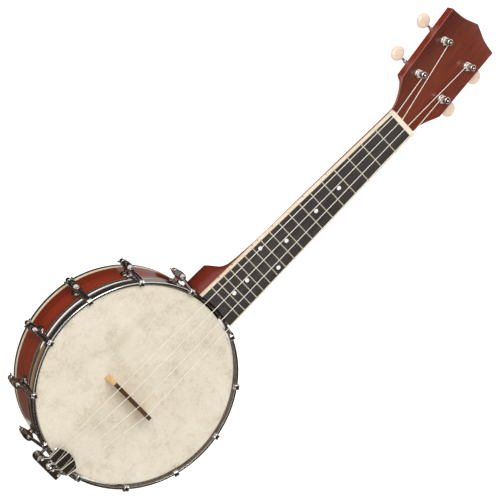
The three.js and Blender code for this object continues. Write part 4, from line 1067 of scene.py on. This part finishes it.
# Tuners
# Each geared tuner has a closed housing behind the headstock, a bushing and flange in front, a string post
# and a cream button on a worm shaft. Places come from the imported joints.
tuner_places = {"bass_near": -1, "bass_far": -1, "treble_far": 1, "treble_near": 1}
housing_depth = 0.009
housing_half_x, housing_half_y = 0.0065, 0.0075
housing_back = -plate_thickness - 0.0002
housing_end = housing_back - housing_depth
worm_offset = 0.0034
post_height = 0.012
post_radius = 0.0032
post_waist = 0.0026
post_bore, post_bore_depth = 0.0011, 0.0012
bushing_bore = post_waist + 0.0001
bushing_radius = 0.0046
bushing_height = 0.0021
button_half_x, button_half_y = 0.0072, 0.0081
button_half_thickness = 0.0027
button_reach = 0.0237
button_plastic = dusted(
    "button_plastic", (238, 217, 196), (224, 199, 176), scale=120, Roughness=0.28, Coat_Weight=0.2
)
bushing_profile = rounded(
    [
        (bushing_bore, 0),
        (bushing_radius, 0),
        (bushing_radius, 0.0012),
        (bushing_radius - 0.0009, bushing_height),
        (bushing_bore, bushing_height),
    ],
    0.0004,
)
post_profile = rounded(
    [
        (0, -0.004),
        (post_waist - 0.0002, -0.004),
        (post_waist, bushing_height),
        (post_waist, post_height - 0.0054),
        (post_radius, post_height - 0.0048),
        (post_radius, post_height - 0.0005),
        (post_radius - 0.0006, post_height),
        (post_bore, post_height),
        (post_bore, post_height - post_bore_depth),
        (0, post_height - post_bore_depth),
    ],
    mm(0.01, 0.1, 0.2, 0.4, 0.3, 0.3, 0.3, 0.2, 0.1, 0.01),
)


def oblong(half_x, half_y):
    """The corners of a rectangle about the origin."""
    return [(-half_x, -half_y), (half_x, -half_y), (half_x, half_y), (-half_x, half_y)]


def button_parts(side):
    """The button, its collar and worm shaft about the X axis: an oval pad that bulges between two faces."""
    turn = np.linspace(0, 2 * np.pi, 48, endpoint=False)[None]
    lift = np.linspace(-np.pi / 2, np.pi / 2, 15)[:, None]
    bulge = np.cos(lift) ** 0.42
    pad_z = button_half_thickness * np.sign(np.sin(lift)) * np.abs(np.sin(lift)) ** 0.9 + 0 * turn
    pad_x = button_reach + button_half_x * bulge * np.cos(turn)
    pad = np.stack([pad_x, button_half_y * bulge * np.sin(turn), pad_z], axis=-1)
    collar_end = button_reach - button_half_x + 0.0008
    shaft = rounded(
        [
            (0, 0),
            (0.001, 0),
            (0.001, collar_end - 0.0075),
            (0.0024, collar_end - 0.007),
            (0.0024, collar_end - 0.006),
            (0.0015, collar_end - 0.0035),
            (0.0019, collar_end),
            (0, collar_end),
        ],
        0.0004,
    )
    flipped = seated(skin(pad), (0, 0, 0), (side, 0, 0), (0, side, 0))
    return flipped, seated(turned(shaft, 28), (0, 0, 0), (0, side, 0), (0, 0, 1), (side, 0, 0))


housing_outline = rounded(oblong(housing_half_x, housing_half_y), 0.0022)
cover_outline = rounded(housing_outline * 0.72, 0.001)
screw_profile = rounded([(0, 0), (0.0017, 0), (0.0017, 0.0008), (0, 0.0011)], 0.0003)
screw_slot = prism(oblong(0.0013, 0.00025), 0, 0.0002, 0.00005)
case_parts = [
    seated(prism(housing_outline, housing_end, housing_back, 0.0012), (0, worm_offset / 2, 0)),
    seated(prism(cover_outline, -0.0003, 0.0003), (0, worm_offset / 2, housing_end)),
    seated(turned(screw_profile, 24), (0, 0, housing_end - 0.0002), z_axis=(0, 0, -1)),
    seated(screw_slot, (0, 0, housing_end - 0.0014)),
    turned(bushing_profile, 40),
]
post_part = turned(post_profile, 36)
for place, side in tuner_places.items():
    post, button = f"tuner_post_{place}", f"tuner_button_{place}"
    post_at, button_at = joints[post + "_turn"]["pos_m"], joints[button + "_turn"]["pos_m"]
    case = [seated(part, post_at, *on_plate) for part in case_parts]
    pad, shaft = (seated(part, button_at, *on_plate) for part in button_parts(side))
    piece(f"tuner_case_{place}", case, chrome, "chrome", f"tuner_housing_{place}")
    piece(f"string_post_{place}", [seated(post_part, post_at, *on_plate)], chrome, "chrome", post, body=post)
    piece(f"button_{place}", [pad], button_plastic, "button_pearl", button, body=button)
    piece(f"button_shaft_{place}", [shaft], steel, "button_pearl", body=button)

# Strings
# Four nylon strings run from knots on the tail flange over the plate, the bridge and the nut to their posts.
# Each is a round tube along one path that ends in turns wound down the post.
crease_strings = np.array([-0.014, -0.0047, 0.0047, 0.014])
knot_strings = np.array([-0.0128, -0.0046, 0.0046, 0.0128])
knot_y = pot_centre[1] - 0.116
knot_radius = 0.0008
knot_half_length = 0.0014
winding_turns = 2
winding_pitch = 0.00125
winding_top = 0.0055
winding_radius = post_waist + 0.0003 + string_radius


def string_path(number, place, side):
    """The string's points from the tail to the last turn on its post."""
    post_at = np.array(joints[f"tuner_post_{place}_turn"]["pos_m"])
    nut_point = np.array([pot_centre[0] + nut_strings[number], nut_end, nut_string_z])
    offset = nut_point - post_at
    start = np.array([offset @ (1, 0, 0), offset @ face_along])
    quarter = np.pi / 2 + np.arcsin(winding_radius / np.hypot(*start))
    touch = np.arctan2(-start[1], -start[0]) + side * quarter
    turn = np.linspace(0, winding_turns * 2 * np.pi, 120)
    angle = (touch - side * turn)[:, None]
    round_post = winding_radius * (np.cos(angle) * np.array([1, 0, 0]) + np.sin(angle) * face_along)
    down_post = (winding_top - turn / (2 * np.pi) * winding_pitch)[:, None] * face_normal
    x = pot_centre[0]
    knot_z = tail_flange_z + knot_radius
    points = [
        (x + knot_strings[number], knot_y, knot_z),
        (x + knot_strings[number], knot_y + 0.0018, knot_z),
        (x + crease_strings[number], tail_crease_y, tail_top + string_radius + 0.0001),
        (x + string_places[number], bridge_y, bridge_string_z),
        (x + nut_strings[number], nut_y, nut_string_z),
        nut_point,
    ]
    return np.concatenate([points, post_at + round_post + down_post])


def tube(path, radius, reference, sides=14):
    """A round tube along a path: rings square to it, turned by a reference that it never runs along."""
    heading = unit(np.gradient(path, axis=0))
    across = unit(np.cross(heading, reference))
    up = np.cross(across, heading)
    turn = np.linspace(0, 2 * np.pi, sides, endpoint=False)[None, :, None]
    spokes = across[:, None] * np.cos(turn) + up[:, None] * np.sin(turn)
    return skin(path[:, None] + radius * spokes, caps=True)


string_nylon = dusted("string_nylon", (238, 231, 217), (224, 216, 201), scale=300, Roughness=0.22)
knot_turn = np.linspace(-np.pi / 2, np.pi / 2, 9)
knot_curve = [knot_radius * np.cos(knot_turn), knot_half_length * np.sin(knot_turn)]
knot = turned(np.stack(knot_curve, axis=1), 20, False)
for number, (place, side) in enumerate(tuner_places.items()):
    path = string_path(number, place, side)
    string_parts = [tube(path, string_radius, face_normal), seated(knot, path[0], *along_neck)]
    piece(f"nylon_{number + 1}", string_parts, string_nylon, "string_nylon", f"string_{number + 1}", sharp=60)

# Studio
# A pale floor, a bright even surround, one broad lamp over the bass side and a weaker one from the tail end.
# Plain cards that only mirrors see give the chrome and the lacquer their bands; a few also light the wood.


def unlit(thing):
    """The empty node tree of a material or world."""
    thing.use_nodes = True
    thing.node_tree.nodes.clear()
    return thing.node_tree


def seen_directly(tree):
    """1 for rays from the camera, and for those that a mirror or glass passes on."""
    rays = node(tree, "LightPath").outputs
    mirrored = reckoned(tree, "MAXIMUM", rays["Is Camera Ray"], rays["Is Glossy Ray"])
    return reckoned(tree, "MAXIMUM", mirrored, rays["Is Transmission Ray"])


def staged(name, part, material):
    """A stage object, which isn't part of the instrument."""
    made = built(name, *part, material)
    return made


def sheet(corner, across, along):
    """One flat face from a corner, by its two edges."""
    corner, across, along = np.array([corner, across, along], float)
    return np.array([corner, corner + across, corner + across + along, corner + along]), [[0, 1, 2, 3]]


floor_material = bpy.data.materials.new("floor")
floor_tree = unlit(floor_material)
floor_shade = node(floor_tree, "BsdfDiffuse", {"Color": (0.8, 0.8, 0.8, 1)})
floor_strength = reckoned(floor_tree, "MULTIPLY", seen_directly(floor_tree), 0.72)
floor_glow = node(floor_tree, "Emission", {"Strength": floor_strength})
floor_both = node(floor_tree, "AddShader", {0: floor_shade.outputs[0], 1: floor_glow.outputs[0]})
node(floor_tree, "OutputMaterial", {"Surface": floor_both.outputs[0]})
staged("floor", sheet((-8, -8, -0.0002), (16, 0, 0), (0, 16, 0)), floor_material)

world = bpy.data.worlds.new("surround")
bpy.context.scene.world = world
world_tree = unlit(world)
world_light = node(world_tree, "Background", {"Color": (1, 1, 1, 1), "Strength": 0.55})
world_seen = node(world_tree, "Background", {"Color": (1, 1, 1, 1), "Strength": 1.0})
world_inputs = {0: seen_directly(world_tree), 1: world_light.outputs[0], 2: world_seen.outputs[0]}
node(world_tree, "OutputWorld", {"Surface": node(world_tree, "MixShader", world_inputs).outputs[0]})


def card(name, part, glow, lights=False):
    """A card of a plain colour that only mirrors see, or dull surfaces too where it also lights."""
    material = bpy.data.materials.new(name)
    tree = unlit(material)
    shade = node(tree, "Emission", {"Color": (*glow, 1)})
    if lights:
        clear = node(tree, "BsdfTransparent").outputs[0]
        behind = node(tree, "NewGeometry").outputs["Backfacing"]
        shade = node(tree, "MixShader", {0: behind, 1: shade.outputs[0], 2: clear})
    node(tree, "OutputMaterial", {"Surface": shade.outputs[0]})
    made = staged(name, part, material)
    made.visible_camera = False
    made.visible_diffuse = lights
    made.visible_shadow = False
    made.visible_transmission = False


def mirror_card(first, last, near, far):
    """The floor that walls (radius, height) mirror to the camera, from one angle left of the neck to another.

    The camera's line d leaves a wall with the normal n as d - 2 (d.n) n, and is followed down to the floor.
    """
    turn = np.radians(np.linspace(first, last, 60))[:, None]
    out = np.concatenate([-np.sin(turn), np.cos(turn), 0 * turn], axis=1)
    line = -np.array(view_back)
    mirrored = line - 2 * (out @ line)[:, None] * out
    fall = mirrored[:, :2] / -mirrored[:, 2:]
    ends = [radius * out[:, :2] + height * fall for radius, height in (near, far)]
    flat = np.stack(ends, axis=1) + pot_centre[:2]
    return skin(np.concatenate([flat, np.full((60, 2, 1), 0.0005)], axis=2), close_columns=False)


# Walls round the pot: the rim up to the flesh hoop, the flesh hoop, and the tension hoop, as (radius, height)
wall_foot = (rim_radius, 0)
flesh_foot = (flesh_radius, 0.050)
flesh_line = (flesh_radius, 0.0565)
flesh_top = (flesh_radius, 0.0585)
hoop_brown_top = (hoop_radius, 0.067)
far_off = (hoop_radius, 0.15)
very_far = (hoop_radius, 0.5)
# Each sector of the pot, between two angles, with its cards from the rim outwards; the last one's also light
lighting_sector = (137, 166)
sectors = {
    (-10, 47): [("pink_card", wall_foot, far_off, (0.42, 0.38, 0.38))],
    (47, 110): [
        ("low_card", wall_foot, flesh_foot, (0.04, 0.036, 0.034)),
        ("low_stripe", flesh_foot, flesh_line, (0.5, 0.48, 0.44)),
        ("low_wide_card", flesh_line, far_off, (0.04, 0.036, 0.034)),
    ],
    (110, 137): [
        ("brown_card", wall_foot, flesh_foot, (0.15, 0.11, 0.08)),
        ("beige_stripe", flesh_foot, flesh_top, (0.5, 0.43, 0.31)),
        ("brown_stripe", flesh_top, hoop_brown_top, (0.34, 0.17, 0.075)),
        ("brown_far_card", hoop_brown_top, very_far, (0.10, 0.08, 0.06)),
    ],
    lighting_sector: [
        ("tan_card", wall_foot, flesh_foot, (0.22, 0.175, 0.13)),
        ("dull_stripe", flesh_foot, flesh_line, (0.16, 0.125, 0.09)),
        ("dark_card", flesh_line, very_far, (0.04, 0.03, 0.026)),
    ],
}
for sector, cards in sectors.items():
    for name, near, far, glow in cards:
        card(name, mirror_card(*sector, near, far), glow, lights=sector == lighting_sector)
tail_turn = np.radians(np.linspace(266, 305, 60))[:, None]
tail_reach = np.array([[0.1028, 0.6]])
tail_floor = [pot_centre[0] + tail_reach * np.cos(tail_turn), pot_centre[1] + tail_reach * np.sin(tail_turn)]
tail_floor = np.stack([*tail_floor, np.full((60, 2), 0.0005)], axis=-1)
card("tail_floor_card", skin(tail_floor, close_columns=False), (0.04, 0.03, 0.026), lights=True)
# Flat cards under the heel, the headstock and the neck, and upright or slanting ones farther off
for name, corner, across, along, glow in [
    ("heel_card", (-0.038, -0.09, 0.0006), (0.068, 0, 0), (0, 0.09, 0), (0.02, 0.015, 0.012)),
    ("headstock_card", (-0.11, 0.185, 0.0006), (0.075, 0, 0), (0, 0.145, 0), (0.05, 0.03, 0.02)),
    ("overhead_card", (0.1, -1.2, 1.6), (2.1, 0, -0.7), (0, 2.8, 0), (0.045, 0.036, 0.030)),
    ("neck_card", (-0.05, 0.105, 0.0005), (0.03, 0, 0), (0, 0.205, 0), (0.02, 0.015, 0.012)),
    ("tail_card", (-0.5, -1.2, 0), (2, 0, 0), (0, 0, 1.6), (0.03, 0.025, 0.022)),
    ("side_card", (-1.0, -1.5, 0), (0, 1.8, 0), (0, 0, 0.8), (0.25, 0.24, 0.22)),
]:
    card(name, sheet(corner, across, along), glow)


def lamp(name, place, aim, size, power):
    """A square area lamp at a place, turned to a point."""
    data = bpy.data.lights.new(name, "AREA")
    data.shape = "SQUARE"
    data.size = size
    data.energy = power
    back = unit(np.array(place, float) - np.array(aim, float))
    side = unit(np.cross((0, 0, 1), back))
    placed(name, data).matrix_world = standing(place, side, np.cross(back, side), back)


lamp("key", (-1.6, 0.8, 2.4), (0, 0, 0.05), 1.6, 60)
lamp("fill", (1.2, -1.6, 1.8), (0, 0, 0.05), 1.6, 14)

bpy.context.scene.view_settings.view_transform = "Standard"
